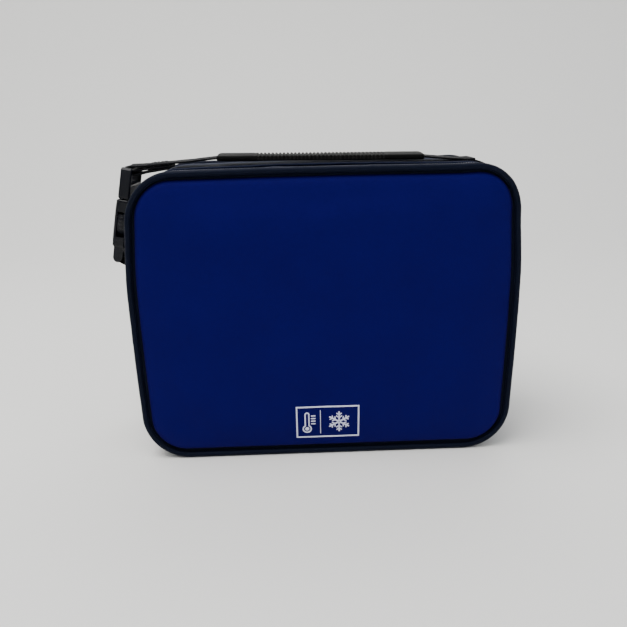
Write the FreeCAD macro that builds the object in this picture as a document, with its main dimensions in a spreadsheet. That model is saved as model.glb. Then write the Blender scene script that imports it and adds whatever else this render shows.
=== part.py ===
import FreeCAD, Part
import Sketcher
import math
import os
import re

# Soft insulated lunch kit: a padded fabric body with a zip-round front lid, a webbing handle with a
# rubber grip, and a side-release buckle that joins the handle to the left side.
#
# Frame, in millimetres: +X to the right seen from the front, +Y to the back, +Z up.
# The origin is the middle of the flat bottom.

Vector = FreeCAD.Vector

document = FreeCAD.newDocument("lunch_kit")
sheet = document.addObject("Spreadsheet::Sheet", "Sizes")

# name, value in mm (angles in degrees), what it is
DRIVING_SIZES = [
    ("width", 260, "whole bag, over the piping"),
    ("height", 202, "bottom to the top of the piping"),
    ("depth", 90, "front piping to back piping"),
    ("corner", 32, "corner radius over the piping"),
    ("piping", 4.2, "diameter of the piped seams"),
    ("proud", 1.5, "how far the piping stands out of the gusset"),
    ("shell", 0.9, "outer cloth"),
    ("foam", 4.0, "insulating foam"),
    ("lining", 0.7, "leak-proof lining"),
    ("panel_sink", 1.0, "panel face behind the front of the piping"),
    ("seam_space", 0.1, "space between a panel and its piping"),
    ("fold_height", 46, "where the zip ends and the lid folds"),
    ("fold_gap", 0.4, "space between the two sides of the fold"),
    ("zip_setback", 20, "middle of the zip behind the front"),
    ("zip_front_bare", 6, "zip tape showing in front of the middle"),
    ("zip_back_bare", 7, "zip tape showing behind the middle"),
    ("tape_width", 9.4, "one zip tape"),
    ("tape", 0.6, "thickness of a zip tape"),
    ("coil_width", 1.6, "one zip coil, along the tape"),
    ("coil", 1.4, "thickness of a zip coil"),
    ("coil_gap", 1.6, "space between the two coils"),
    ("coil_start", 8, "first tooth above the fold"),
    ("foam_setback", 3.5, "foam behind the body's edge of cloth at the zip"),
    ("lid_foam_setback", 4.5, "foam in front of the lid's edge of cloth at the zip"),
    ("tab_height", 12, "cloth tab over each end of the zip"),
    ("tab_drop", 8, "lower end of that tab below the fold"),
    ("slider_start", 5, "lower end of the slider above the fold"),
    ("slider_length", 11, "zip slider"),
    ("slider_width", 9, "zip slider"),
    ("slider_proud", 0.65, "underside of the slider's outer plate off the cloth"),
    ("slider_plate", 1.2, "outer plate of the slider"),
    ("slider_reach", 3.2, "inner plate's far face behind the cloth"),
    ("slider_inner_plate", 1.4, "inner plate of the slider"),
    ("pull_length", 30, "zip pull below its pivot"),
    ("pull_width", 7, "zip pull"),
    ("pull_thickness", 1, "zip pull"),
    ("pull_pivot", 11.7, "pivot of the pull above the fold"),
    ("pull_bar", 0.8, "half of the bar that hangs in the bail"),
    ("binding_width", 4.0, "bound seam, along the wall"),
    ("binding", 2.0, "bound seam, off the wall"),
    ("webbing_width", 25, "strap and tab"),
    ("webbing", 1.3, "thickness of one layer"),
    ("strap_space", 0.5, "strap off the cloth that it follows"),
    ("loop_space", 0.15, "webbing off the bar that it goes round"),
    ("anchor_low", 132, "lower end of the strap's sewn end, right side"),
    ("anchor_high", 154, "upper end of the strap's sewn end"),
    ("strap_start", 1.0, "first of the moving strap above its sewn end"),
    ("tab_low", 114, "lower end of the socket's tab, left side"),
    ("tab_bend", 133.5, "where the tab leaves the side"),
    ("grip_length", 141, "rubber grip"),
    ("grip_width", 29, "rubber grip"),
    ("grip_low", 202.9, "underside of the grip"),
    ("grip_thickness", 4.9, "rubber grip"),
    ("rib_pitch", 2.65, "ribs on the grip"),
    ("rib_groove", 1.1, "width of a groove between ribs"),
    ("groove_depth", 0.7, "depth of a groove"),
    ("buckle_side", 131, "buckle bar, left of the middle"),
    ("buckle_top", 200.4, "height of the buckle bar"),
    ("buckle_lean", 11.5, "degrees that the buckle leans out"),
    ("buckle_width", 35, "buckle, front to back"),
    ("buckle_thickness", 9, "buckle, off the side of the bag"),
    ("bar_radius", 2.0, "webbing bars of the buckle"),
    ("mouth", 18.6, "socket mouth below the upper bar"),
    ("lower_bar", 60, "socket bar below the upper bar"),
    ("plug_thickness", 7.6, "plug"),
    ("rail", 4, "each side rail of the buckle's frames"),
    ("guide_width", 8.4, "middle guide of the plug"),
    ("guide_end", 41.4, "end of the guide below the upper bar"),
    ("guide_thickness", 2.6, "middle guide of the plug"),
    ("arm_thickness", 4.6, "spring arms"),
    ("cavity_width", 30.8, "inside of the socket"),
    ("cavity_thickness", 6.2, "inside of the socket"),
    ("cavity_depth", 31, "inside of the socket"),
    ("window_low", 45, "lower end of the side windows"),
    ("window_high", 27.4, "upper end of the side windows"),
    ("window_thickness", 5.8, "side windows"),
    ("case_end", 52.5, "end of the socket's case"),
    ("rail_thickness", 6.4, "side rails of the socket's bar"),
]

for row, (alias, value, meaning) in enumerate(DRIVING_SIZES, start=1):
    sheet.set(f"A{row}", alias)
    sheet.set(f"B{row}", str(value))
    sheet.set(f"C{row}", meaning)
    sheet.setAlias(f"B{row}", alias)
document.recompute()

RIB_GROOVES = 33


def bound(text):
    """The same formula with each size's name pointing at the sheet."""
    return re.sub(r"[a-z][a-z_]*", lambda word: "Sizes." + word.group(), text)


def size(text):
    """The present value of a formula over the sheet."""
    return float(sheet.evalExpression(bound(text)))


# ---------------------------------------------------------------- sketches and features

def new_body(label):
    body = document.addObject("PartDesign::Body", label)
    body.Label = label
    return body


def new_sketch(body, plane, offset="0"):
    """A sketch on one of the body's own planes, moved along that plane's normal."""
    feature = next(f for f in body.Origin.OriginFeatures if f.Role == plane + "_Plane")
    sketch = body.newObject("Sketcher::SketchObject", body.Label + "_sketch")
    sketch.AttachmentSupport = [(feature, "")]
    sketch.MapMode = "FlatFace"
    sketch.setExpression("AttachmentOffset.Base.z", bound(offset))
    return sketch


def hold(sketch, kind, arguments, text):
    """A dimension that follows a formula."""
    index = sketch.addConstraint(Sketcher.Constraint(kind, *arguments, size(text)))
    sketch.setExpression(f"Constraints[{index}]", bound(text))


def hold_point(sketch, geometry, point, across, up):
    """Puts a point of the sketch at two formulas, each measured from the sketch's origin."""
    for kind, axis, text in (("DistanceX", -2, across), ("DistanceY", -1, up)):
        value = size(text)
        if abs(value) < 1e-9:
            sketch.addConstraint(Sketcher.Constraint("PointOnObject", geometry, point, axis))
        elif value > 0:
            hold(sketch, kind, (-1, 1, geometry, point), text)
        else:
            hold(sketch, kind, (geometry, point, -1, 1), f"-({text})")


def polygon(sketch, corners):
    """A closed outline of straight lines whose corners are pairs of formulas."""
    places = [Vector(size(across), size(up), 0) for across, up in corners]
    first = sketch.GeometryCount
    count = len(corners)
    for index in range(count):
        line = Part.LineSegment(places[index], places[(index + 1) % count])
        sketch.addGeometry(line, False)
    for index in range(count):
        following = first + (index + 1) % count
        sketch.addConstraint(Sketcher.Constraint("Coincident", first + index, 2, following, 1))
    for index, (across, up) in enumerate(corners):
        hold_point(sketch, first + index, 1, across, up)


def rectangle(sketch, left, low, right, high):
    polygon(sketch, [(left, low), (right, low), (right, high), (left, high)])


def rounded_outline(sketch, inset, low):
    """The bag's outline seen from the front, inset from the gusset's outer face."""
    half_text = f"width / 2 - proud - ({inset})"
    high_text = f"height - proud - ({inset})"
    radius_text = f"corner - proud - ({inset})"
    half, bottom, top, radius = (size(text) for text in (half_text, low, high_text, radius_text))
    inner, lower, upper = half - radius, bottom + radius, top - radius
    first = sketch.GeometryCount
    sides = [((-inner, bottom), (inner, bottom)), ((half, lower), (half, upper)),
             ((inner, top), (-inner, top)), ((-half, upper), (-half, lower))]
    centres = [(inner, lower, 270), (inner, upper, 0), (-inner, upper, 90), (-inner, lower, 180)]
    for (start, end), (across, up, angle) in zip(sides, centres):
        sketch.addGeometry(Part.LineSegment(Vector(*start, 0), Vector(*end, 0)), False)
        circle = Part.Circle(Vector(across, up, 0), Vector(0, 0, 1), radius)
        arc = Part.ArcOfCircle(circle, math.radians(angle), math.radians(angle + 90))
        sketch.addGeometry(arc, False)
    for corner_index in range(4):
        line = first + 2 * corner_index
        arc = line + 1
        following = first + (2 * corner_index + 2) % 8
        sketch.addConstraint(Sketcher.Constraint("Tangent", line, 2, arc, 1))
        sketch.addConstraint(Sketcher.Constraint("Tangent", arc, 2, following, 1))
    for arc in (first + 3, first + 5, first + 7):
        sketch.addConstraint(Sketcher.Constraint("Equal", first + 1, arc))
    sketch.addConstraint(Sketcher.Constraint("Horizontal", first))
    hold(sketch, "Radius", (first + 1,), radius_text)
    hold(sketch, "DistanceX", (-1, 1, first + 2, 1), half_text)
    hold(sketch, "DistanceX", (first + 6, 1, -1, 1), half_text)
    hold(sketch, "DistanceY", (-1, 1, first + 4, 1), high_text)
    hold(sketch, "DistanceY", (first, 1, first + 4, 1), f"{high_text} - ({low})")


def pad(body, sketch, length, both_ways=False):
    feature = body.newObject("PartDesign::Pad", body.Label + "_pad")
    feature.Profile = sketch
    feature.setExpression("Length", bound(length))
    feature.SideType = "Symmetric" if both_ways else "One side"
    document.recompute()
    return feature


def pocket_through(body, sketch):
    """Cuts the sketch right through the body, both ways, and makes sure that it did cut."""
    before = body.Shape.Volume
    feature = body.newObject("PartDesign::Pocket", body.Label + "_pocket")
    feature.Profile = sketch
    feature.Type = "ThroughAll"
    feature.SideType = "Symmetric"
    document.recompute()
    if body.Shape.Volume > before - 1e-3:
        raise RuntimeError(f"{body.Label}: the pocket cuts nothing")
    return feature


def cut_region(body, front, back, low, high):
    """Cuts away everything between two depths and two heights, right across the bag."""
    sketch = new_sketch(body, "YZ")
    rectangle(sketch, front, low, back, high)
    pocket_through(body, sketch)


def slab(body, front, back, outer, low, inner=None, inner_low=None):
    """Adds a plate in the bag's outline, or a band when it has an inner outline, between two depths."""
    sketch = new_sketch(body, "XZ", f"-({back})")
    rounded_outline(sketch, outer, low)
    if inner is not None:
        rounded_outline(sketch, inner, inner_low)
    pad(body, sketch, f"({back}) - ({front})")


FRONT = "-depth / 2"
BACK = "depth / 2"
ABOVE_BAG = "height + 20"
BELOW_BAG = "-20"
FAR_FRONT = "-depth"
FAR_BACK = "depth"
BODY_FOLD = "fold_height - fold_gap / 2"
LID_FOLD = "fold_height + fold_gap / 2"
ZIP_LINE = "zip_setback - depth / 2"
LID_EDGE = f"{ZIP_LINE} - zip_front_bare"
BODY_EDGE = f"{ZIP_LINE} + zip_back_bare"
PIPING_BACK = "depth / 2 - piping"
PANEL_INSET = "piping - proud + seam_space"
PANEL_LOW = "piping + seam_space"
PANEL_INNER = "depth / 2 - panel_sink - shell - foam"
FOAM_INSET = "shell + foam"
WALL = "shell + foam + lining"


def keep_lid_part(body):
    cut_region(body, FAR_FRONT, FAR_BACK, BELOW_BAG, LID_FOLD)


def keep_body_part(body, edge):
    """Opens the front of a body piece above the fold, back to the given depth."""
    cut_region(body, FAR_FRONT, edge, BODY_FOLD, ABOVE_BAG)


# ---------------------------------------------------------------- walls of the body

def band(label, front, back, outer, inner):
    body = new_body(label)
    slab(body, front, back, outer, outer, inner, inner)
    return body


def panel(label, front, back, inset=PANEL_INSET, low=PANEL_LOW):
    body = new_body(label)
    slab(body, front, back, inset, low)
    return body


def build_gusset():
    shell = band("gusset_shell", f"-({PIPING_BACK})", PIPING_BACK, "0", "shell")
    keep_body_part(shell, BODY_EDGE)
    foam = band("gusset_foam", f"-({PANEL_INNER})", PANEL_INNER, "shell", FOAM_INSET)
    keep_body_part(foam, f"{BODY_EDGE} + foam_setback")


def build_panels():
    """Cloth and foam of the back wall, the front wall below the fold and the lid above it."""
    face = "depth / 2 - panel_sink"
    skin = "depth / 2 - panel_sink - shell"
    panel("back_panel_cover", skin, face)
    panel("back_panel_foam", PANEL_INNER, skin)
    sill_cover = panel("front_sill_cover", f"-({face})", f"-({skin})")
    keep_body_part(sill_cover, FAR_BACK)
    sill_foam = panel("front_sill_foam", f"-({skin})", f"-({PANEL_INNER})")
    keep_body_part(sill_foam, FAR_BACK)
    keep_lid_part(panel("front_panel_cover", f"-({face})", f"-({skin})"))
    keep_lid_part(panel("front_panel_foam", f"-({skin})", f"-({PANEL_INNER})"))


def build_body_lining():
    """The tub: back wall, four sides and the low front wall, one wall thick."""
    body = new_body("body_lining")
    slab(body, f"{PANEL_INNER} - lining", PANEL_INNER, FOAM_INSET, FOAM_INSET)
    slab(body, f"-({PANEL_INNER})", f"{PANEL_INNER} - lining", FOAM_INSET, FOAM_INSET, WALL, WALL)
    slab(body, f"-({PANEL_INNER})", f"lining - ({PANEL_INNER})", FOAM_INSET, FOAM_INSET)
    keep_body_part(body, f"{BODY_EDGE} + foam_setback")


def build_lid_band():
    shell = band("lid_band_shell", f"-({PIPING_BACK})", LID_EDGE, "0", "shell")
    keep_lid_part(shell)
    foam = band("lid_band_foam", f"-({PANEL_INNER})", f"{LID_EDGE} - lid_foam_setback", "shell", FOAM_INSET)
    keep_lid_part(foam)
    lining = new_body("lid_lining")
    slab(lining, f"-({PANEL_INNER})", f"lining - ({PANEL_INNER})", FOAM_INSET, FOAM_INSET)
    slab(lining, f"-({PANEL_INNER})", f"{LID_EDGE} - lid_foam_setback", FOAM_INSET, FOAM_INSET, WALL, WALL)
    keep_lid_part(lining)


def build_bindings():
    """Bound seams along the inside corners of the back wall and of the lid."""
    wall_face = f"{PANEL_INNER} - lining"
    outer, inner = WALL, f"{WALL} + binding"
    band("back_seam_binding", f"{wall_face} - binding_width", wall_face, outer, inner)
    lid = band("lid_seam_binding", f"-({wall_face})", f"binding_width - ({wall_face})", outer, inner)
    keep_lid_part(lid)


# ---------------------------------------------------------------- piping

def piping_wire(low, high):
    """The piping's middle line between two heights, as an open wire, or closed when it goes all round."""
    half = size("width / 2 - piping / 2")
    top = size("height - piping / 2")
    bottom = size("piping / 2")
    radius = size("corner - piping / 2")
    inner = half - radius
    reach = radius * math.sqrt(0.5)

    def corner(side, level, up):
        middle = Vector(side * inner, 0, level)
        points = [middle + Vector(side * radius, 0, 0),
                  middle + Vector(side * reach, 0, up * reach),
                  middle + Vector(0, 0, up * radius)]
        return Part.Arc(*points).toShape()

    edges = []
    if high is None:
        edges += [corner(side, top - radius, 1) for side in (-1, 1)]
        edges.append(Part.makeLine(Vector(-inner, 0, top), Vector(inner, 0, top)))
    if low is None:
        edges += [corner(side, bottom + radius, -1) for side in (-1, 1)]
        edges.append(Part.makeLine(Vector(-inner, 0, bottom), Vector(inner, 0, bottom)))
    side_low = bottom + radius if low is None else low
    side_high = top - radius if high is None else high
    for side in (-1, 1):
        edges.append(Part.makeLine(Vector(side * half, 0, side_low), Vector(side * half, 0, side_high)))
    return Part.Wire(Part.__sortEdges__(edges))


def build_piping(label, depth_place, low=None, high=None):
    """A round cord cover along the seam, swept along its middle line."""
    route = piping_wire(low, high)
    start = route.OrderedVertexes[0].Point
    direction = route.OrderedEdges[0].tangentAt(route.OrderedEdges[0].FirstParameter)
    section = Part.Wire(Part.makeCircle(size("piping / 2"), start, direction))
    feature = document.addObject("Part::Feature", label)
    feature.Label = label
    feature.Shape = route.makePipeShell([section], True, True)
    feature.Placement = FreeCAD.Placement(Vector(0, depth_place, 0), FreeCAD.Rotation())


def build_all_piping():
    middle = size("depth / 2 - piping / 2")
    build_piping("back_piping", middle)
    build_piping("front_piping_lower", -middle, high=size(BODY_FOLD))
    build_piping("front_piping_upper", -middle, low=size(LID_FOLD))


# ---------------------------------------------------------------- zip

def zip_band(label, front, back, outer, inner, low):
    body = band(label, front, back, outer, inner)
    cut_region(body, FAR_FRONT, FAR_BACK, BELOW_BAG, low)


def build_zip():
    tape_inner = "shell + tape"
    coil_outer = "shell - coil"
    lid_side = f"{ZIP_LINE} - coil_gap / 2"
    body_side = f"{ZIP_LINE} + coil_gap / 2"
    tape_low = "fold_height + 2"
    coil_low = "fold_height + coil_start"
    zip_band("zip_tape_lid", f"{lid_side} - tape_width", lid_side, "shell", tape_inner, tape_low)
    zip_band("zip_tape_body", body_side, f"{body_side} + tape_width", "shell", tape_inner, tape_low)
    zip_band("zip_coil_lid", f"{lid_side} - coil_width", lid_side, coil_outer, "shell", coil_low)
    zip_band("zip_coil_body", body_side, f"{body_side} + coil_width", coil_outer, "shell", coil_low)


def build_zip_end_tabs():
    """A folded cloth tab sewn over each end of the zip."""
    tabs = []
    for side in (-1, 1):
        tab = document.addObject("Part::Box", f"zip_end_tab_{'left' if side < 0 else 'right'}")
        tab.setExpression("Length", bound("shell"))
        tab.setExpression("Width", bound("zip_front_bare + zip_back_bare"))
        tab.setExpression("Height", bound("tab_height"))
        outward = "width / 2 - proud + 0.1" if side > 0 else "-(width / 2 - proud + 0.1 + shell)"
        tab.setExpression("Placement.Base.x", bound(outward))
        tab.setExpression("Placement.Base.y", bound(LID_EDGE))
        tab.setExpression("Placement.Base.z", bound("fold_height - tab_drop"))
        tabs.append(tab)
    group = document.addObject("Part::Compound", "zip_end_tabs")
    group.Label = "zip_end_tabs"
    group.Links = tabs


def build_zip_slider():
    """Two plates joined by the wedge that runs between the coils, and a bail for the pull."""
    surface = "width / 2 - proud"
    body = new_body("zip_slider")
    low, high = "fold_height + slider_start", "fold_height + slider_start + slider_length"
    plate_low, plate_high = f"{surface} + slider_proud", f"{surface} + slider_proud + slider_plate"
    outer_plate = new_sketch(body, "XZ", f"-({ZIP_LINE} + slider_width / 2)")
    rectangle(outer_plate, plate_low, low, plate_high, high)
    pad(body, outer_plate, "slider_width")
    wedge = new_sketch(body, "XZ", f"-({ZIP_LINE} + 0.5)")
    rectangle(wedge, f"{surface} - slider_reach", f"{low} + 0.5", plate_low, f"{low} + 5.5")
    pad(body, wedge, "1")
    inner_plate = new_sketch(body, "XZ", f"-({ZIP_LINE} + slider_width / 2)")
    rectangle(inner_plate, f"{surface} - slider_reach", low,
              f"{surface} - slider_reach + slider_inner_plate", high)
    pad(body, inner_plate, "slider_width")
    bail = new_sketch(body, "XZ", f"-({ZIP_LINE} + 0.75)")
    roof_in, roof_out = f"{plate_high} + 2.65", f"{plate_high} + 3.65"
    polygon(bail, [(plate_high, f"{low} + 2"), (roof_out, f"{low} + 2"), (roof_out, f"{low} + 9"),
                   (plate_high, f"{low} + 9"), (plate_high, f"{low} + 8"), (roof_in, f"{low} + 8"),
                   (roof_in, f"{low} + 3"), (plate_high, f"{low} + 3")])
    pad(body, bail, "1.5")


def build_zip_pull():
    """A flat tab with a window whose upper bar hangs in the slider's bail."""
    face = "width / 2 - proud + 2.7"
    pivot = "fold_height + pull_pivot"
    body = new_body("zip_pull")
    outline = new_sketch(body, "YZ", face)
    left, right = f"{ZIP_LINE} - pull_width / 2", f"{ZIP_LINE} + pull_width / 2"
    low, high = f"{pivot} - pull_length", f"{pivot} + pull_bar"
    polygon(outline, [(f"{left} + 1", low), (f"{right} - 1", low), (right, f"{low} + 1.5"),
                      (f"{right} - 0.6", high), (f"{left} + 0.6", high), (left, f"{low} + 1.5")])
    rectangle(outline, f"{ZIP_LINE} - 1.9", f"{pivot} - 6.4", f"{ZIP_LINE} + 1.9", f"{pivot} - pull_bar")
    pad(body, outline, "pull_thickness")


# ---------------------------------------------------------------- mesh pocket and badge

def block(label, left, right, front, back, low, high):
    body = new_body(label)
    sketch = new_sketch(body, "XZ", f"-({back})")
    rectangle(sketch, left, low, right, high)
    pad(body, sketch, f"({back}) - ({front})")
    return body


def build_pocket():
    lining_face = f"-({PANEL_INNER} - lining)"
    block("mesh_pocket", "-98", "98", f"{lining_face} + 0.3", f"{lining_face} + 0.9",
          "fold_height + 18", "fold_height + 96")
    block("pocket_binding", "-98", "98", f"{lining_face} + 0.3", f"{lining_face} + 1.9",
          "fold_height + 96", "fold_height + 104")


def build_badge():
    face = "panel_sink - depth / 2"
    block("front_badge", "-22.5", "22.5", f"{face} - 0.3", face, "14.7", "39.4")


# ---------------------------------------------------------------- handle

def rounded_route(places):
    """A wire of straight runs joined by arcs; each place is (x, z, radius)."""
    points = [Vector(across, 0, up) for across, up, _ in places]
    edges = []
    here = points[0]
    for index in range(1, len(points) - 1):
        corner = points[index]
        towards = (points[index - 1] - corner).normalize()
        onwards = (points[index + 1] - corner).normalize()
        half_turn = (math.pi - towards.getAngle(onwards)) / 2
        radius = places[index][2]
        reach = radius * math.tan(half_turn)
        start, end = corner + towards * reach, corner + onwards * reach
        inward = (towards + onwards).normalize()
        middle = corner + inward * (radius / math.cos(half_turn) - radius)
        edges.append(Part.makeLine(here, start))
        edges.append(Part.Arc(start, middle, end).toShape())
        here = end
    edges.append(Part.makeLine(here, points[-1]))
    return Part.Wire(edges)


def ribbon(places, thickness, width):
    """A flat band of the given thickness along a route in the X-Z plane, centred on Y = 0."""
    route = rounded_route(places)
    half = thickness / 2
    start_edge, end_edge = route.OrderedEdges[0], route.OrderedEdges[-1]
    start = route.OrderedVertexes[0].Point
    direction = start_edge.tangentAt(start_edge.FirstParameter)
    sideways = direction.cross(Vector(0, 1, 0)).normalize()
    across = Vector(0, width / 2, 0)
    corners = [start + sideways * half + across, start - sideways * half + across,
               start - sideways * half - across, start + sideways * half - across]
    section = Part.makePolygon(corners + corners[:1])
    return route.makePipeShell([section], True, True)


def webbing_loop(centre_x, centre_z):
    """The webbing where it goes round a buckle bar."""
    width = size("webbing_width")
    inner = size("bar_radius + loop_space")
    outer = inner + size("webbing")
    start = Vector(centre_x, -width / 2, centre_z)
    forwards = Vector(0, 1, 0)
    return Part.makeCylinder(outer, width, start, forwards).cut(
        Part.makeCylinder(inner, width, start, forwards))


def build_handle_webbing():
    """From the sewn end up the right side, over the top and round the plug's bar."""
    off_cloth = size("strap_space + webbing / 2")
    side = size("width / 2 - proud") + off_cloth
    top = size("height - proud") + off_cloth
    corner_radius = size("corner - proud") + off_cloth
    grip_middle = size("grip_low + grip_thickness / 2")
    grip_end = size("grip_length / 2")
    bar_x, bar_z = -size("buckle_side"), size("buckle_top")
    loop_top = bar_z + size("bar_radius + loop_space + webbing / 2")
    start_low = size("anchor_high + strap_start")
    upper = [(side, start_low, 0), (side, top, corner_radius), (grip_end + 22, top, 60),
             (grip_end, grip_middle, 40), (-grip_end, grip_middle, 40),
             (-grip_end - 18, loop_top + 0.2, 60), (bar_x, loop_top, 0)]
    thickness, width = size("webbing"), size("webbing_width")
    tail_start = bar_z - size("bar_radius + loop_space + webbing / 2")
    tail_end = loop_top - thickness + 0.05
    lower = [(bar_x, tail_start, 0), (bar_x + 7, tail_start + 0.3, 9),
             (bar_x + 15, tail_end - 0.3, 9), (bar_x + 28, tail_end, 0)]
    strap = ribbon(upper, thickness, width)
    tail = ribbon(lower, thickness, width)
    loop = webbing_loop(bar_x, bar_z)
    clear_half = Part.makeBox(20, width + 2, 20, Vector(bar_x, -width / 2 - 1, bar_z - 10))
    shape = strap.fuse([tail, loop.cut(clear_half)]).removeSplitter()
    feature = document.addObject("Part::Feature", "handle_webbing")
    feature.Label = "handle_webbing"
    feature.Shape = shape


def build_handle_anchor():
    """Two layers of webbing box-stitched to the right side."""
    surface = "width / 2 - proud"
    block("handle_anchor", surface, f"{surface} + 2 * webbing",
          "-webbing_width / 2", "webbing_width / 2", "anchor_low", "anchor_high")


def build_grip():
    """A moulded grip on the webbing, ribbed across its top and edges between two plain ends."""
    body = new_body("handle_grip")
    low, high = "grip_low", "grip_low + grip_thickness"
    half = "grip_width / 2"
    section = new_sketch(body, "YZ")
    polygon(section, [(f"-({half}) + 1", low), (f"{half} - 1", low), (half, f"{low} + 1.2"),
                      (half, f"{high} - 1.8"), (f"{half} - 2.4", high), (f"2.4 - {half}", high),
                      (f"-({half})", f"{high} - 1.8"), (f"-({half})", f"{low} + 1.2")])
    middle = "grip_low + grip_thickness / 2"
    slot_half = "webbing_width / 2 + 0.1"
    rectangle(section, f"-({slot_half})", f"{middle} - webbing / 2 - 0.05",
              slot_half, f"{middle} + webbing / 2 + 0.05")
    pad(body, section, "grip_length", both_ways=True)
    groove = new_sketch(body, "XZ")
    first = f"-{RIB_GROOVES - 1} / 2 * rib_pitch"
    rectangle(groove, f"{first} - rib_groove / 2", f"{high} - groove_depth",
              f"{first} + rib_groove / 2", f"{high} + 1")
    cut = pocket_through(body, groove)
    pattern = body.newObject("PartDesign::LinearPattern", "handle_grip_ribs")
    pattern.Originals = [cut]
    pattern.Direction = (groove, ["H_Axis"])
    pattern.Occurrences = RIB_GROOVES
    pattern.setExpression("Length", bound(f"{RIB_GROOVES - 1} * rib_pitch"))
    body.Tip = pattern
    document.recompute()


# ---------------------------------------------------------------- buckle
# The buckle is drawn upright: +z towards the upper bar, -x off the bag, and then leans out.

def lean_out(body):
    body.setExpression("Placement.Base.x", bound("-buckle_side"))
    body.setExpression("Placement.Base.z", bound("buckle_top"))
    body.Placement.Rotation = FreeCAD.Rotation(Vector(0, 1, 0), size("buckle_lean"))


def front_plate(body, left, low, right, high, thickness):
    """Adds a plate seen from the side of the bag, centred on the buckle's middle plane."""
    sketch = new_sketch(body, "YZ")
    rectangle(sketch, left, low, right, high)
    pad(body, sketch, thickness, both_ways=True)


def add_bar(body, down):
    """Adds a round webbing bar across the buckle."""
    sketch = new_sketch(body, "XZ")
    circle = Part.Circle(Vector(0, -size(down), 0), Vector(0, 0, 1), size("bar_radius"))
    index = sketch.addGeometry(circle, False)
    hold(sketch, "Radius", (index,), "bar_radius")
    hold_point(sketch, index, 3, "0", f"-({down})")
    pad(body, sketch, "buckle_width - 4", both_ways=True)


def fillet_all(body, radius):
    """Rounds every edge that the body has so far."""
    base = body.Tip
    feature = body.newObject("PartDesign::Fillet", body.Label + "_fillet")
    feature.Base = (base, [f"Edge{index + 1}" for index in range(len(base.Shape.Edges))])
    feature.Radius = radius
    document.recompute()


def build_plug():
    """Webbing bar in a frame, a shoulder that meets the socket's mouth, and the middle guide."""
    body = new_body("buckle_plug")
    half = "buckle_width / 2"
    end = "0.3 - mouth"
    rail = f"{half} - rail"
    outline = new_sketch(body, "YZ")
    polygon(outline, [(f"-({half})", end), (half, end), (half, "1.2"), (f"{half} - 1.4", "2.6"),
                      (rail, "2.6"), (rail, "-9"), (f"-({rail})", "-9"), (f"-({rail})", "2.6"),
                      (f"1.4 - {half}", "2.6"), (f"-({half})", "1.2")])
    pad(body, outline, "plug_thickness", both_ways=True)
    fillet_all(body, 1.1)
    add_bar(body, "0")
    front_plate(body, "-guide_width / 2", "-guide_end", "guide_width / 2", f"{end} + 1", "guide_thickness")
    lean_out(body)


def build_arm(label, side):
    """A spring arm of the plug, with the pad that shows in the socket's side window."""
    body = new_body(label)
    sketch = new_sketch(body, "YZ")
    root = "-mouth"
    corners = [("9", root), ("12.4", root), ("13.6", f"{root} - 9.2"), ("17.2", f"{root} - 10.4"),
               ("17.5", f"{root} - 14.8"), ("17", f"{root} - 20.8"), ("13.8", f"{root} - 25.8"),
               ("11.5", f"{root} - 25.8"), ("9.4", f"{root} - 12.8")]
    if side < 0:
        corners = [(f"-{across}", up) for across, up in reversed(corners)]
    polygon(sketch, corners)
    pad(body, sketch, "arm_thickness", both_ways=True)
    lean_out(body)


def build_socket():
    """A flat case with an open mouth, a window in each side and a webbing bar below."""
    body = new_body("buckle_socket")
    half = "buckle_width / 2"
    front_plate(body, f"-({half})", "-case_end", half, "-mouth", "buckle_thickness")
    fillet_all(body, 2.0)
    cavity = new_sketch(body, "XY", "-mouth")
    across, along = "cavity_thickness / 2", "cavity_width / 2"
    rectangle(cavity, f"-{across}", f"-{along}", across, along)
    before = body.Shape.Volume
    pocket = body.newObject("PartDesign::Pocket", "buckle_socket_cavity")
    pocket.Profile = cavity
    pocket.Type = "Length"
    pocket.setExpression("Length", bound("cavity_depth"))
    document.recompute()
    if body.Shape.Volume > before - 1000:
        raise RuntimeError("buckle_socket: the cavity is not cut")
    windows = new_sketch(body, "XZ")
    rectangle(windows, "-window_thickness / 2", "-window_low", "window_thickness / 2", "-window_high")
    pocket_through(body, windows)
    near, far = "(buckle_width / 2 - rail)", "(buckle_width / 2 - 0.4)"
    reach, end = "rail_thickness / 2", "-lower_bar - 2.6"
    for back in (far, f"-{near}"):
        profile = new_sketch(body, "XZ", f"-({back})")
        polygon(profile, [(f"-{reach}", "1.5 - case_end"), (f"-{reach}", f"{end} + 3"),
                          (f"0.8 - {reach}", f"{end} + 1"), (f"2.3 - {reach}", end),
                          (f"{reach} - 2.3", end), (f"{reach} - 0.8", f"{end} + 1"),
                          (reach, f"{end} + 3"), (reach, "1.5 - case_end")])
        pad(body, profile, f"{far} - {near}")
    add_bar(body, "lower_bar")
    lean_out(body)


def build_buckle_tab():
    """Webbing sewn to the left side that goes round the socket's bar, both layers together."""
    lean = math.radians(size("buckle_lean"))
    down = size("lower_bar")
    bar_x = -size("buckle_side") - down * math.sin(lean)
    bar_z = size("buckle_top") - down * math.cos(lean)
    width, thickness = size("webbing_width"), 2 * size("webbing")
    side = -size("width / 2 - proud + webbing")
    low, bend = size("tab_low"), size("tab_bend")
    towards = Vector(side - bar_x, 0, bend - bar_z).normalize()
    meet = Vector(bar_x, 0, bar_z) + towards * size("bar_radius + loop_space + webbing / 2")
    strap = ribbon([(side, low, 0), (side, bend, 5), (meet.x, meet.z, 0)], thickness, width)
    start = Vector(bar_x, -width / 2, bar_z)
    hole = Part.makeCylinder(size("bar_radius + loop_space"), width, start, Vector(0, 1, 0))
    feature = document.addObject("Part::Feature", "buckle_tab")
    feature.Label = "buckle_tab"
    feature.Shape = strap.fuse(webbing_loop(bar_x, bar_z)).cut(hole)


# ---------------------------------------------------------------- the whole kit

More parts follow.
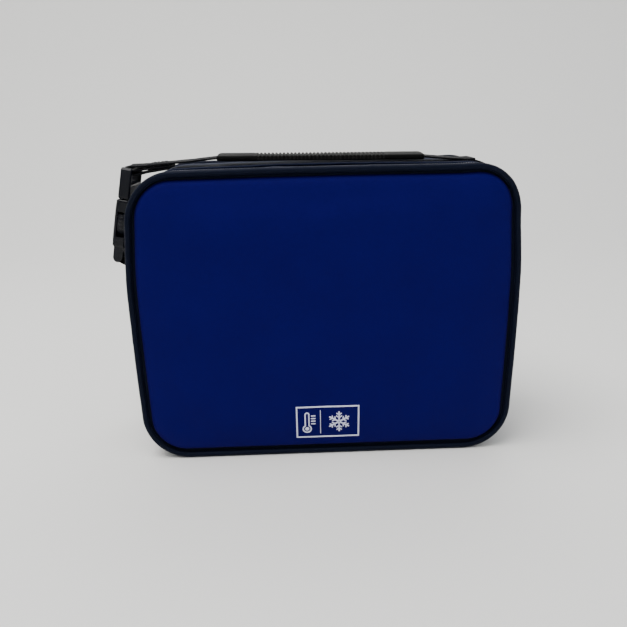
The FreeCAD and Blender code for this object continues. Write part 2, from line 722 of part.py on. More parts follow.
def build_all():
    build_gusset()
    build_panels()
    build_body_lining()
    build_lid_band()
    build_bindings()
    build_all_piping()
    build_zip()
    build_zip_end_tabs()
    build_zip_slider()
    build_zip_pull()
    build_pocket()
    build_badge()
    build_handle_anchor()
    build_handle_webbing()
    build_grip()
    build_plug()
    build_arm("buckle_arm_front", -1)
    build_arm("buckle_arm_rear", 1)
    build_socket()
    build_buckle_tab()
    document.recompute()


def sub_parts():
    """Every finished piece: the bodies, the compounds and the plain shapes."""
    kinds = ("PartDesign::Body", "Part::Compound", "Part::Feature")
    return [item for item in document.Objects if item.TypeId in kinds]


def check_document():
    for item in document.Objects:
        if "Invalid" in item.State or "Error" in item.State:
            raise RuntimeError(f"{item.Label} did not recompute: {item.State}")
    for item in sub_parts():
        if item.Shape.isNull() or not item.Shape.isValid() or not item.Shape.Solids:
            raise RuntimeError(f"{item.Label} has no sound solid")


build_all()
check_document()
os.makedirs("parts", exist_ok=True)
for item in sub_parts():
    item.Shape.exportStep(f"parts/{item.Label}.step")
    box = item.Shape.BoundBox
    print(f"{item.Label:22s} {len(item.Shape.Solids)} solid(s) {item.Shape.Volume:10.1f} mm3"
          f"  x {box.XMin:.1f} {box.XMax:.1f}  y {box.YMin:.1f} {box.YMax:.1f}"
          f"  z {box.ZMin:.1f} {box.ZMax:.1f}")
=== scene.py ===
import math

import bpy
import numpy as np
from mathutils import Matrix, Vector, geometry, noise
from mathutils.bvhtree import BVHTree


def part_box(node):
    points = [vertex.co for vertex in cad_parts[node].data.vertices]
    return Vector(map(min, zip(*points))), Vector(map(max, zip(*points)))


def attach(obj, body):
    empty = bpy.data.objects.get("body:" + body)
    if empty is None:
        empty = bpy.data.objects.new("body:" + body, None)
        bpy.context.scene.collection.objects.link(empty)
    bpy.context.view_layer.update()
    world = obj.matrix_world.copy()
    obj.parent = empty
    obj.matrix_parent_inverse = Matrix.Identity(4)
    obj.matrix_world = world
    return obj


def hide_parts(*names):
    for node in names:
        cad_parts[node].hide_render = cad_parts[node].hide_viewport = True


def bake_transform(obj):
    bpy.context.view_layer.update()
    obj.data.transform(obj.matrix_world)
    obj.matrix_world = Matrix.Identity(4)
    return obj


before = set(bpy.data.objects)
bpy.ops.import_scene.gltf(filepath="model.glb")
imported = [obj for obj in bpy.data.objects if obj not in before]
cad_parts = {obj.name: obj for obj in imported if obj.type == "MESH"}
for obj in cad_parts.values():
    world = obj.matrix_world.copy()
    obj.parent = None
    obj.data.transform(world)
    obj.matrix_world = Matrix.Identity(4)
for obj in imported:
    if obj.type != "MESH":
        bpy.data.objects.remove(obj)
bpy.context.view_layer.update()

# Soft lunch kit. Lengths below are in millimetres, in the frame's axes, unless a name ends in _m.
MM = 0.001


def corners(node):
    """Lowest and highest corner of a CAD node, in millimetres."""
    low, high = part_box(node)
    return np.array(low) / MM, np.array(high) / MM


# ---------------------------------------------------------------- sizes read from the frame
GUSSET_HIGH = corners("gusset_shell")[1]
PIPING_LOW, PIPING_HIGH = corners("back_piping")
PANEL_LOW, PANEL_HIGH = corners("back_panel_cover")
LINING_LOW, LINING_HIGH = corners("body_lining")
BAND_END = corners("lid_band_shell")[1][1]
COIL_LID_LOW, COIL_LID_HIGH = corners("zip_coil_lid")
COIL_BODY_LOW = corners("zip_coil_body")[0]
TAPE_LID_LOW, TAPE_LID_HIGH = corners("zip_tape_lid")
TAPE_BODY_LOW, TAPE_BODY_HIGH = corners("zip_tape_body")
SILL_HIGH = corners("front_sill_cover")[1]
GRIP_LOW, GRIP_HIGH = corners("handle_grip")
BADGE_LOW, BADGE_HIGH = corners("front_badge")
ANCHOR_LOW, ANCHOR_HIGH = corners("handle_anchor")
POCKET_LOW, POCKET_HIGH = corners("mesh_pocket")
POCKET_EDGE_LOW, POCKET_EDGE_HIGH = corners("pocket_binding")
BACK_BINDING_LOW, BACK_BINDING_HIGH = corners("back_seam_binding")
LID_BINDING_LOW, LID_BINDING_HIGH = corners("lid_seam_binding")

HALF = GUSSET_HIGH[0]
HEIGHT = GUSSET_HIGH[2]
GUSSET_END = GUSSET_HIGH[1]
FOLD = SILL_HIGH[2] + 0.2
PIPING_RADIUS = (PIPING_HIGH[1] - PIPING_LOW[1]) / 2
PIPING_MIDDLE = PIPING_HIGH[1] - PIPING_RADIUS
CORNER = 30.5                     # corner radius of the gusset
CORNER_OVER_PIPING = CORNER + PIPING_HIGH[0] - HALF
SHELL = 0.9                       # thickness of the gusset's cloth
LINING = 0.7                      # thickness of the lining
ZIP_SLOT = 13.0                   # zip tape that shows between the lid's hem and the body's

# ---------------------------------------------------------------- how the soft bag sits
SIDE_BOW = 2.3                    # swell of each side
SHOULDER_PULL = 2.4               # how far the sides draw in below the top corners
TOP_BOW = 1.2                     # swell of the top
CORNER_FULL = (1.5, 1.3)          # how much fuller the top right corner is, across and up
ZIP_SWELL = 1.3                   # swell of the stiff strip with the zip, all the way up the right side
ZIP_STRIP_DEPTH = (BAND_END - 12, BAND_END + 25)    # where that strip is, from front to back
ZIP_STRIP_HEIGHT = (45, 192)                        # and from the fold up to the corner
GROOVE = 2.2                      # gap between the piping and the panel's rolled edge
PANEL_SPREAD = 0.4                # how far the padded panel spreads past its flat cloth
PANEL_SQUARER = 2.0               # how much tighter its corners are than the piping's
SEAM_HEIGHT = FOLD - 10           # cross seam where the bottom gusset meets the zipped gusset


def smooth_step(value):
    t = np.clip(value, 0, 1)
    return t * t * (3 - 2 * t)


def ramp(value, start, run):
    """Rises smoothly from 0 at the start to 1 at the end of its run."""
    return smooth_step((value - start) / run)


def between(value, low, high, rise, fall):
    """1 between two limits, easing down to 0 at them."""
    return ramp(value, low, rise) * smooth_step((high - value) / fall)


def bow(points):
    """Swells the sides and the top, draws in the shoulders and leaves the bottom flat."""
    p = np.array(points, float)
    up = np.clip(p[..., 2] / HEIGHT, 0, 1.05)
    across = p[..., 0] / HALF
    swell = SIDE_BOW * np.sin(np.pi * np.clip(up, 0, 1) ** 1.3)
    swell = swell - SHOULDER_PULL * ramp(up, 0.62, 0.3)
    zip_strip = between(p[..., 1], *ZIP_STRIP_DEPTH, 5, 5) * between(p[..., 2], *ZIP_STRIP_HEIGHT, 10, 24)
    swell = swell + (ZIP_SWELL - swell) * zip_strip * ramp(across, 0.85, 0.1)
    p[..., 0] += swell * across * np.abs(across)
    p[..., 2] += TOP_BOW * np.clip(1 - across ** 2, 0, 1) * up ** 3
    full = ramp(across, 0.66, 0.24) * ramp(up, 0.82, 0.13)
    p[..., 0] += CORNER_FULL[0] * full
    p[..., 2] += CORNER_FULL[1] * full
    return p


def wander(points, size, seed=0.0):
    """Smooth noise from -1 to 1 at each point, with bumps about that size."""
    flat = np.asarray(points, float).reshape(-1, 3)
    values = [noise.noise(Vector(p) / size + Vector((seed, 7.3 * seed, 1.7))) for p in flat]
    return np.array(values).reshape(np.asarray(points).shape[:-1])


def upright(flat, y):
    """Points (x, z) stood up at a depth."""
    return np.stack(np.broadcast_arrays(flat[..., 0], y, flat[..., 1]), -1)


def crossed(first, second):
    """Two lists of values as the rows and columns of a grid."""
    return np.meshgrid(first, second, indexing="ij")


def distances(path):
    """How far along a path each of its points is."""
    return np.concatenate([[0], np.cumsum(np.linalg.norm(np.diff(path, axis=0), axis=1))])


# ---------------------------------------------------------------- the outline seen from the front
class Outline:
    """A rounded rectangle, walked anticlockwise from the middle of its bottom."""

    def __init__(self, half, low, high, radius):
        self.half, self.low, self.high, self.radius = half, low, high, radius
        across, side, arc = half - radius, high - low - 2 * radius, math.pi * radius / 2
        steps = [0, across, arc, side, arc, 2 * across, arc, side, arc, across]
        self.knots = np.cumsum(steps)
        self.length = self.knots[-1]
        bottom, top = low + radius, high - radius
        self.core_x = [0, across, across, across, across, -across, -across, -across, -across, 0]
        self.core_z = [bottom, bottom, bottom, top, top, top, top, bottom, bottom, bottom]
        self.turn = np.radians([-90, -90, 0, 0, 90, 90, 180, 180, 270, 270])

    def at(self, along, out=0.0):
        """Points (x, z) at distances along the outline, moved outwards, and their normals."""
        along = np.mod(along, self.length)
        core = np.stack([np.interp(along, self.knots, self.core_x),
                         np.interp(along, self.knots, self.core_z)], -1)
        turn = np.interp(along, self.knots, self.turn)
        normal = np.stack([np.cos(turn), np.sin(turn)], -1)
        return core + normal * (self.radius + np.asarray(out)[..., None]), normal

    def side_at(self, height):
        """Distance along the outline to a height on the right side."""
        return self.knots[2] + height - self.low - self.radius

    def inside(self, x, z):
        """How far inside the outline each point is."""
        dx = np.abs(x) - (self.half - self.radius)
        dz = np.abs(z - (self.low + self.high) / 2) - ((self.high - self.low) / 2 - self.radius)
        outer = np.hypot(np.maximum(dx, 0), np.maximum(dz, 0))
        return self.radius - outer - np.minimum(np.maximum(dx, dz), 0)


GUSSET = Outline(HALF, 0, HEIGHT, CORNER)
PIPING = Outline(PIPING_HIGH[0] - PIPING_RADIUS, PIPING_RADIUS, PIPING_HIGH[2] - PIPING_RADIUS,
                 CORNER_OVER_PIPING - PIPING_RADIUS)
PANEL = Outline(PANEL_HIGH[0] + PANEL_SPREAD - GROOVE, PANEL_LOW[2] - PANEL_SPREAD + GROOVE,
                PANEL_HIGH[2] + PANEL_SPREAD - GROOVE,
                CORNER_OVER_PIPING - 2 * PIPING_RADIUS - PANEL_SQUARER - GROOVE)


# ---------------------------------------------------------------- meshes
def new_object(name, points, faces, uvs=None):
    """An object from points in millimetres; uvs holds one pair in millimetres per point."""
    mesh = bpy.data.meshes.new(name)
    points = np.asarray(points, float).reshape(-1, 3)
    mesh.from_pydata((points * MM).tolist(), [], [list(map(int, f)) for f in faces])
    if uvs is not None:
        layer = mesh.uv_layers.new(name="weave")
        loops = np.zeros(len(mesh.loops), np.int32)
        mesh.loops.foreach_get("vertex_index", loops)
        layer.data.foreach_set("uv", np.asarray(uvs, np.float32).reshape(-1, 2)[loops].ravel())
    mesh.validate()
    mesh.polygons.foreach_set("use_smooth", [True] * len(mesh.polygons))
    mesh.update()
    obj = bpy.data.objects.new(name, mesh)
    bpy.context.scene.collection.objects.link(obj)
    return obj


def grid_faces(rows, columns, closed_rows=False, closed_columns=False, keep=None):
    faces = []
    for i in range(rows if closed_rows else rows - 1):
        for j in range(columns if closed_columns else columns - 1):
            if keep is not None and not keep[i, j]:
                continue
            a, b = i, (i + 1) % rows
            c, d = j, (j + 1) % columns
            faces.append((a * columns + c, b * columns + c, b * columns + d, a * columns + d))
    return faces


def flipped(faces):
    return [tuple(reversed(f)) for f in faces]


def tube_faces(rings, sides, closed=False):
    """Faces between rings of points, with both ends capped unless the rings run in a loop."""
    faces = grid_faces(rings, sides, closed, True)
    if not closed:
        faces += [tuple(range(sides)), tuple(reversed(range((rings - 1) * sides, rings * sides)))]
    return faces


def thicken(obj, thickness, inwards=True):
    """Gives a sheet its thickness, behind its face."""
    solid = obj.modifiers.new("thickness", "SOLIDIFY")
    solid.thickness = thickness * MM
    solid.offset = -1 if inwards else 0
    return obj


def sharpen(obj, degrees=40):
    obj.data.set_sharp_from_angle(angle=math.radians(degrees))
    return obj


def joined(parts):
    """Points, faces and uvs of several meshes as one."""
    points, faces, uvs, count = [], [], [], 0
    for part_points, part_faces, part_uvs in parts:
        part_points = np.asarray(part_points, float).reshape(-1, 3)
        points.append(part_points)
        uvs.append(np.asarray(part_uvs, float).reshape(-1, 2))
        faces += [tuple(int(i) + count for i in f) for f in part_faces]
        count += len(part_points)
    return np.concatenate(points), faces, np.concatenate(uvs)


def tube(path, radius, sides=12, closed=False, squash=(1.0, 1.0), up=(0, 1, 0)):
    """A round tube along a path; radius may be a list. Returns points, faces and uvs."""
    path = np.asarray(path, float)
    count = len(path)
    radius = np.broadcast_to(np.asarray(radius, float), (count,))
    ahead = np.roll(path, -1, 0) - np.roll(path, 1, 0)
    if not closed:
        ahead[0], ahead[-1] = path[1] - path[0], path[-1] - path[-2]
    ahead /= np.linalg.norm(ahead, axis=1)[:, None]
    across = np.cross(ahead, np.asarray(up, float))
    across /= np.linalg.norm(across, axis=1)[:, None]
    other = np.cross(across, ahead)
    angle = np.linspace(0, 2 * math.pi, sides, endpoint=False)
    ring = (across[:, None] * (np.cos(angle) * squash[0])[None, :, None]
            + other[:, None] * (np.sin(angle) * squash[1])[None, :, None])
    points = path[:, None] + ring * radius[:, None, None]
    uvs = np.stack(crossed(distances(path), angle * radius.mean()), -1)
    return points.reshape(-1, 3), tube_faces(count, sides, closed), uvs.reshape(-1, 2)


def stitch_line(path, normals, pitch=3.0, length=2.3, radius=0.24, lift=0.05):
    """Threads along a path, each dipping into the cloth at its ends."""
    path, normals = np.asarray(path, float), np.asarray(normals, float)
    along = distances(path)
    parts = []
    for start in np.arange(pitch / 2, along[-1] - length, pitch):
        where = start + np.array([0, 0.12, 0.5, 0.88, 1]) * length
        spot = np.stack([np.interp(where, along, path[:, k]) for k in range(3)], 1)
        out = np.stack([np.interp(where, along, normals[:, k]) for k in range(3)], 1)
        height = np.array([-0.25, 0.05, 0.16, 0.05, -0.25]) + lift
        side = np.cross(spot[-1] - spot[0], out[2])
        parts.append(tube(spot + out * height[:, None], [0.12, radius, radius, radius, 0.12], 6, up=side))
    return joined(parts)


# ---------------------------------------------------------------- materials
def node_material(name):
    material = bpy.data.materials.new(name)
    material.use_nodes = True
    tree = material.node_tree
    shader = tree.nodes["Principled BSDF"]
    return material, tree, shader


def math_node(tree, operation, first, second=None):
    node = tree.nodes.new("ShaderNodeMath")
    node.operation = operation
    for index, value in enumerate((first, second)):
        if value is None:
            continue
        if isinstance(value, (int, float)):
            node.inputs[index].default_value = value
        else:
            tree.links.new(value, node.inputs[index])
    return node.outputs[0]


def weighted(tree, *terms):
    """The sum of some values, each times its share."""
    total = None
    for value, share in terms:
        part = math_node(tree, "MULTIPLY", value, share)
        total = part if total is None else math_node(tree, "ADD", total, part)
    return total


def wave(tree, value, length):
    return math_node(tree, "SINE", math_node(tree, "MULTIPLY", value, 2 * math.pi / length))


def weave_axes(tree):
    """The cloth's two directions, in millimetres."""
    source = tree.nodes.new("ShaderNodeUVMap")
    source.uv_map = "weave"
    split = tree.nodes.new("ShaderNodeSeparateXYZ")
    tree.links.new(source.outputs[0], split.inputs[0])
    return split.outputs[0], split.outputs[1]


def place_noise(tree, scale, detail=3.0, roughness=0.5):
    """Noise over the object's own space; scale is in bumps per metre."""
    source = tree.nodes.new("ShaderNodeTexCoord")
    texture = tree.nodes.new("ShaderNodeTexNoise")
    texture.inputs["Scale"].default_value = scale
    texture.inputs["Detail"].default_value = detail
    texture.inputs["Roughness"].default_value = roughness
    tree.links.new(source.outputs["Object"], texture.inputs["Vector"])
    return texture.outputs["Fac"]


def mixed_colour(tree, factor, dark, light):
    ramp = tree.nodes.new("ShaderNodeValToRGB")
    ramp.color_ramp.elements[0].color = (*dark, 1)
    ramp.color_ramp.elements[1].color = (*light, 1)
    tree.links.new(factor, ramp.inputs[0])
    return ramp.outputs[0]


def add_bump(tree, shader, height, distance, strength=1.0):
    """Bumps the surface; distance is in millimetres."""
    bump = tree.nodes.new("ShaderNodeBump")
    bump.inputs["Distance"].default_value = distance * MM
    bump.inputs["Strength"].default_value = strength
    tree.links.new(height, bump.inputs["Height"])
    tree.links.new(bump.outputs[0], shader.inputs["Normal"])


def set_range(tree, shader, socket, factor, low, high):
    node = tree.nodes.new("ShaderNodeMapRange")
    node.inputs["To Min"].default_value = low
    node.inputs["To Max"].default_value = high
    tree.links.new(factor, node.inputs["Value"])
    tree.links.new(node.outputs[0], shader.inputs[socket])


def cloth_material(name, dark, light, pitch=0.55, bump=0.05, roughness=(0.62, 0.8), sheen=0.05, shine=0.12,
                   tint=(0.6, 0.7, 1.0)):
    """Plain weave with slightly uneven threads and broad colour drift."""
    material, tree, shader = node_material(name)
    u, v = weave_axes(tree)
    checks = math_node(tree, "MULTIPLY", wave(tree, u, 2 * pitch), wave(tree, v, 2 * pitch))
    height = math_node(tree, "ADD", weighted(tree, (checks, 0.5)), 0.5)
    fine = place_noise(tree, 900, 2)
    broad = place_noise(tree, 22, 3)
    mix = weighted(tree, (height, 0.35), (fine, 0.3), (broad, 0.35))
    tree.links.new(mixed_colour(tree, mix, dark, light), shader.inputs["Base Color"])
    set_range(tree, shader, "Roughness", fine, *roughness)
    shader.inputs["Specular IOR Level"].default_value = shine
    shader.inputs["Specular Tint"].default_value = (*tint, 1)
    shader.inputs["Sheen Weight"].default_value = sheen
    shader.inputs["Sheen Roughness"].default_value = 0.4
    shader.inputs["Sheen Tint"].default_value = (*tint, 1)
    add_bump(tree, shader, weighted(tree, (height, 1.0), (fine, 0.6)), bump)
    return material


def webbing_material(name, dark, light):
    """Herringbone webbing: slanting ribs that change direction in lanes."""
    material, tree, shader = node_material(name)
    u, v = weave_axes(tree)
    lane = math_node(tree, "PINGPONG", v, 3.1)
    rib = wave(tree, weighted(tree, (u, 1.0), (lane, 0.8)), 1.25)
    height = math_node(tree, "ADD", weighted(tree, (rib, 0.35), (wave(tree, v, 0.62), 0.15)), 0.5)
    fine = place_noise(tree, 1400, 2)
    mix = weighted(tree, (height, 0.6), (fine, 0.4))
    tree.links.new(mixed_colour(tree, mix, dark, light), shader.inputs["Base Color"])
    set_range(tree, shader, "Roughness", fine, 0.5, 0.72)
    shader.inputs["Specular IOR Level"].default_value = 0.06
    shader.inputs["Sheen Weight"].default_value = 0.015
    shader.inputs["Sheen Roughness"].default_value = 0.45
    add_bump(tree, shader, height, 0.28)
    return material


def moulded_material(name, dark, light, roughness, grain=0.02, shine=0.5, grain_scale=2500):
    """Moulded plastic or rubber: fine grain, faint smears and worn shine."""
    material, tree, shader = node_material(name)
    fine = place_noise(tree, grain_scale, 2)
    smear = place_noise(tree, 60, 4, 0.6)
    tree.links.new(mixed_colour(tree, smear, dark, light), shader.inputs["Base Color"])
    set_range(tree, shader, "Roughness", smear, *roughness)
    shader.inputs["Specular IOR Level"].default_value = shine
    add_bump(tree, shader, fine, grain)
    return material


def metal_material(name, colour, roughness):
    material, tree, shader = node_material(name)
    smear = place_noise(tree, 180, 4, 0.65)
    darker = tuple(c * 0.7 for c in colour)
    tree.links.new(mixed_colour(tree, smear, darker, colour), shader.inputs["Base Color"])
    set_range(tree, shader, "Roughness", smear, *roughness)
    shader.inputs["Metallic"].default_value = 1.0
    add_bump(tree, shader, smear, 0.02)
    return material


def film_material(name, dark, light):
    """Pale, faintly creased film, as in a wipe-clean lining."""
    material, tree, shader = node_material(name)
    crease = place_noise(tree, 55, 5, 0.6)
    tree.links.new(mixed_colour(tree, crease, dark, light), shader.inputs["Base Color"])
    set_range(tree, shader, "Roughness", crease, 0.28, 0.45)
    shader.inputs["Coat Weight"].default_value = 0.2
    add_bump(tree, shader, crease, 0.9, 0.8)
    return material


BLUE = cloth_material("royal_blue_cloth", (0.0030, 0.0002, 0.046), (0.0054, 0.0008, 0.098), sheen=0.02,
                      shine=0.07, tint=(0.42, 0.42, 1.0))
NAVY = cloth_material("navy_cloth", (0.0018, 0.0030, 0.0105), (0.0055, 0.0092, 0.031))
PIPING_CLOTH = cloth_material("piping_cloth", (0.0006, 0.0010, 0.004), (0.0020, 0.0034, 0.012), pitch=0.42,
                              sheen=0.02, roughness=(0.5, 0.68))
TAPE = cloth_material("zip_tape_cloth", (0.0016, 0.0026, 0.010), (0.0045, 0.0075, 0.026), pitch=0.8, bump=0.12)
BINDING = cloth_material("binding_cloth", (0.0016, 0.0026, 0.010), (0.0045, 0.0075, 0.026), pitch=0.7, bump=0.1)
WEBBING = webbing_material("black_webbing", (0.0010, 0.0011, 0.0018), (0.0060, 0.0065, 0.0095))
THREAD = moulded_material("navy_thread", (0.004, 0.006, 0.022), (0.014, 0.020, 0.060), (0.5, 0.7), 0.05)
BLACK_THREAD = moulded_material("black_thread", (0.006, 0.006, 0.008), (0.03, 0.03, 0.035), (0.45, 0.6), 0.05)
RUBBER = moulded_material("grip_rubber", (0.0015, 0.0015, 0.0016), (0.004, 0.004, 0.004), (0.5, 0.65), 0.05,
                          0.1)
BUCKLE = moulded_material("buckle_acetal", (0.0012, 0.0016, 0.004), (0.0035, 0.0045, 0.009), (0.22, 0.34),
                          0.012, 0.22)
COIL = moulded_material("zip_nylon", (0.004, 0.006, 0.022), (0.010, 0.016, 0.05), (0.25, 0.4), 0.01)
ENAMEL = metal_material("zip_enamel", (0.045, 0.047, 0.055), (0.25, 0.42))
PEVA = film_material("pale_lining", (0.50, 0.53, 0.56), (0.66, 0.69, 0.72))
PRINT = moulded_material("badge_print", (0.60, 0.62, 0.80), (0.70, 0.72, 0.90), (0.4, 0.5), 0.02, 0.4, 1500)
MESH = moulded_material("mesh_yarn", (0.006, 0.006, 0.010), (0.02, 0.02, 0.028), (0.5, 0.7), 0.03)


def dress(obj, material, slot_name, *nodes, body=None):
    """Gives a piece its look, hides the CAD nodes it stands for and puts it on its body."""
    obj.data.materials.clear()
    obj.data.materials.append(material)
    if nodes:
        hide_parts(*nodes)
    if body:
        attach(obj, body)
    return obj


def bend_with_lid(obj):
    """Bakes the piece's placement into its mesh; the piece stays on no body and does not bend."""
    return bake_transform(obj)


# ---------------------------------------------------------------- padded front and back
ROLL = 3.6                        # width of the panel's rolled edge
ROLL_DEPTH = 3.4                  # how far that edge turns back into the groove


def panel_points(outline, spacing, rings):
    """Points and triangles that fill an outline, with rings of points at the given insets."""
    count = int(outline.length / min(spacing, 1.8))
    along = np.linspace(0, outline.length, count, endpoint=False)
    loops = [outline.at(along, np.full(count, -inset))[0] for inset in rings]
    across = np.arange(-outline.half, outline.half, spacing)
    up = np.arange(outline.low, outline.high, spacing)
    grid = np.stack(np.meshgrid(across, up), -1).reshape(-1, 2)
    grid = grid[outline.inside(grid[:, 0], grid[:, 1]) > rings[-1] + 0.6 * spacing]
    flat = np.concatenate(loops + [grid])
    result = geometry.delaunay_2d_cdt([Vector(p) for p in flat], [], [list(range(count))], 1, 1e-4)
    points = np.array([tuple(p) for p in result[0]])
    return points, [tuple(f) for f in result[2]]


def soft_edge(inside):
    """The rise of the padding over the first stretch in from its seam."""
    return 3.0 * (1 - math.exp(-max(inside, 0) / 7))


PAD_THICKNESS = 6.0
PAD_HEM = 6.5                     # edge of the pad that is sewn down
SWELL_CAP = 4.6
SWELL_PITCH = 4.0                 # spacing of the grid that the swell is read on


def flat_pad():
    """A coarse pad of the panel's outline, remeshed to even voxels."""
    step, margin = 6.0, 3.0
    across = np.arange(-PANEL.half + margin, PANEL.half - margin + 0.1, step)
    up = np.arange(PANEL.low + margin, PANEL.high - margin + 0.1, step)
    flat = np.stack(crossed(across, up), -1)
    keep = PANEL.inside(flat[..., 0], flat[..., 1]) > 0
    keep = keep[:-1, :-1] & keep[1:, :-1] & keep[:-1, 1:] & keep[1:, 1:]
    sheet = new_object("panel_pad", upright(flat, 0.0), grid_faces(*flat.shape[:2], keep=keep))
    thicken(sheet, PAD_THICKNESS, False)
    remesh = sheet.modifiers.new("remesh", "REMESH")
    remesh.mode = "VOXEL"
    remesh.voxel_size = 5.0 * MM
    graph = bpy.context.evaluated_depsgraph_get()
    mesh = bpy.data.meshes.new_from_object(sheet.evaluated_get(graph))
    bpy.data.objects.remove(sheet)
    pad = bpy.data.objects.new("panel_pad", mesh)
    bpy.context.scene.collection.objects.link(pad)
    return pad


def inflated(pad):
    """The pad blown up by simulation with its edge held, as a tree to cast rays at."""
    rest = np.array([v.co for v in pad.data.vertices]) / MM
    held = pad.vertex_groups.new(name="held")
    for index in np.nonzero(PANEL.inside(rest[:, 0], rest[:, 2]) < PAD_HEM)[0]:
        held.add([int(index)], 1.0, "REPLACE")
    cloth = pad.modifiers.new("cloth", "CLOTH")
    settings = cloth.settings
    settings.quality = 6
    settings.mass = 0.25
    settings.tension_stiffness = settings.compression_stiffness = 12
    settings.shear_stiffness = 4
    settings.bending_stiffness = 1.5
    settings.vertex_group_mass = "held"
    settings.use_pressure = True
    settings.uniform_pressure_force = 4.0
    settings.shrink_min = -0.012
    settings.effector_weights.gravity = 0
    cloth.collision_settings.use_collision = False
    scene = bpy.context.scene
    for number in range(1, 21):
        scene.frame_set(number)
    graph = bpy.context.evaluated_depsgraph_get()
    done = bpy.data.meshes.new_from_object(pad.evaluated_get(graph))
    scene.frame_set(1)
    bpy.data.objects.remove(pad)
    moved = np.array([v.co for v in done.vertices]) / MM
    return BVHTree.FromPolygons(moved.tolist(), [tuple(p.vertices) for p in done.polygons])


def swollen_front():
    """How far a pressed foam panel swells at each place, found by inflating a coarse pad."""
    tree = inflated(flat_pad())
    pitch = SWELL_PITCH
    xs = np.arange(-PANEL.half - pitch, PANEL.half + 2 * pitch, pitch)
    zs = np.arange(PANEL.low - pitch, PANEL.high + 2 * pitch, pitch)
    swell = np.zeros((len(xs), len(zs)))
    for i, x in enumerate(xs):
        for j, z in enumerate(zs):
            hit = tree.ray_cast(Vector((x, -90, z)), Vector((0, 1, 0)))[0]
            swell[i, j] = 0.0 if hit is None else max(0.0, -hit.y - PAD_THICKNESS / 2)
    swell = SWELL_CAP * (1 - np.exp(-swell / SWELL_CAP))
    for _ in range(3):
        wide = np.pad(swell, 1, "edge")
        swell = (wide[:-2, 1:-1] + wide[2:, 1:-1] + wide[1:-1, :-2] + wide[1:-1, 2:] + 2 * swell) / 6

    def height(x, z):
        i = min(max(int((x - xs[0]) / pitch), 0), len(xs) - 2)
        j = min(max(int((z - zs[0]) / pitch), 0), len(zs) - 2)
        a, b = np.clip([(x - xs[i]) / pitch, (z - zs[j]) / pitch], 0, 1)
        near = swell[i, j] * (1 - b) + swell[i, j + 1] * b
        far = swell[i + 1, j] * (1 - b) + swell[i + 1, j + 1] * b
        inside = float(PANEL.inside(np.array(x), np.array(z)))
        return soft_edge(inside) + 0.6 * (near * (1 - a) + far * a) * (1 - math.exp(-max(inside, 0) / 9))
    return height


def panel_face_y(points, edge_y, swell):
    """Depth of the padded face: rolls up out of the groove at its seam, then swells gently."""
    x, z = points[:, 0], points[:, 1]
    inside = np.maximum(PANEL.inside(x, z), 0)
    turn = np.clip(inside / ROLL, 0, 1)
    roll = ROLL_DEPTH * np.sqrt(np.clip(1 - (1 - turn) ** 2, 0, 1))
    crown = np.array([swell(a, b) for a, b in points])
    spots = upright(points, 0.0)
    ripple = 0.16 * wander(spots, 26, 3) + 0.07 * wander(spots, 9, 5)
    pucker = 0.16 * wander(spots, 3.4, 9) * np.exp(-inside / 4)
    return edge_y + roll + crown + (ripple + pucker) * np.clip(inside / 3, 0, 1)


def rim_faces(triangles, count):
    """The wall round a sheet's border, down to a second sheet whose points follow the first's."""
    edges = {pair for f in triangles for pair in zip(f, f[1:] + f[:1])}
    ordered = [pair for f in triangles for pair in zip(f, f[1:] + f[:1]) if pair[::-1] not in edges]
    return [(b, a, a + count, b + count) for a, b in ordered]


def build_panel(name, side, swell, material, slot_name, *nodes):
    """A padded wall: the outer cloth over foam, closed behind. side is -1 for the front, 1 for the back."""
    flat, triangles = panel_points(PANEL, 2.6, [0.0, 0.12, 0.35, 0.7, 1.2, 1.9, 2.8, 4.0])
    outer_y = side * panel_face_y(flat, PANEL_HIGH[1] - ROLL_DEPTH, swell)
    inside = PANEL.inside(flat[:, 0], flat[:, 1])
    inner_y = side * (LINING_HIGH[1] + 0.1 + 1.5 * np.clip(inside / 4 - 0.5, 0, 1))
    count = len(flat)
    faces = triangles if side < 0 else flipped(triangles)
    rim = rim_faces(triangles, count)
    faces = faces + [tuple(i + count for i in f) for f in flipped(faces)] + (rim if side < 0 else flipped(rim))
    sheets = np.concatenate([bow(upright(flat, outer_y)), bow(upright(flat, inner_y))])
    obj = sharpen(new_object(name, sheets, faces, np.concatenate([flat, flat])), 60)
    dress(obj, material, slot_name)
    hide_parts(*nodes)
    return obj


front_swell = swollen_front()
front_panel = build_panel("front_panel_pad", -1, front_swell, BLUE, "front_cloth",
                          "front_panel_cover", "front_sill_cover", "front_panel_foam", "front_sill_foam")
back_panel = build_panel("back_panel_pad", 1, front_swell, NAVY, "navy_cloth",
                         "back_panel_cover", "back_panel_foam")
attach(back_panel, "bag")


def surface_finder(obj):
    """A function that finds the depth of a piece's front face at a place."""
    mesh = obj.data
    points = [tuple(v.co / MM) for v in mesh.vertices]
    tree = BVHTree.FromPolygons(points, [tuple(p.vertices) for p in mesh.polygons])

    def face_y(x, z):
        hit = tree.ray_cast(Vector((x, -80, z)), Vector((0, 1, 0)))[0]
        return hit.y
    return face_y


front_face_y = surface_finder(front_panel)
bend_with_lid(front_panel)


# ---------------------------------------------------------------- piping
PIPING_FLANGE = ((PIPING_RADIUS - 0.4, 1.0), (PIPING_RADIUS + 0.2, 2.1), (PIPING_RADIUS + 1.2, 2.5),
                 (PIPING_RADIUS + GROOVE + 1.6, 2.6))    # distances in from the cord's middle, and depths


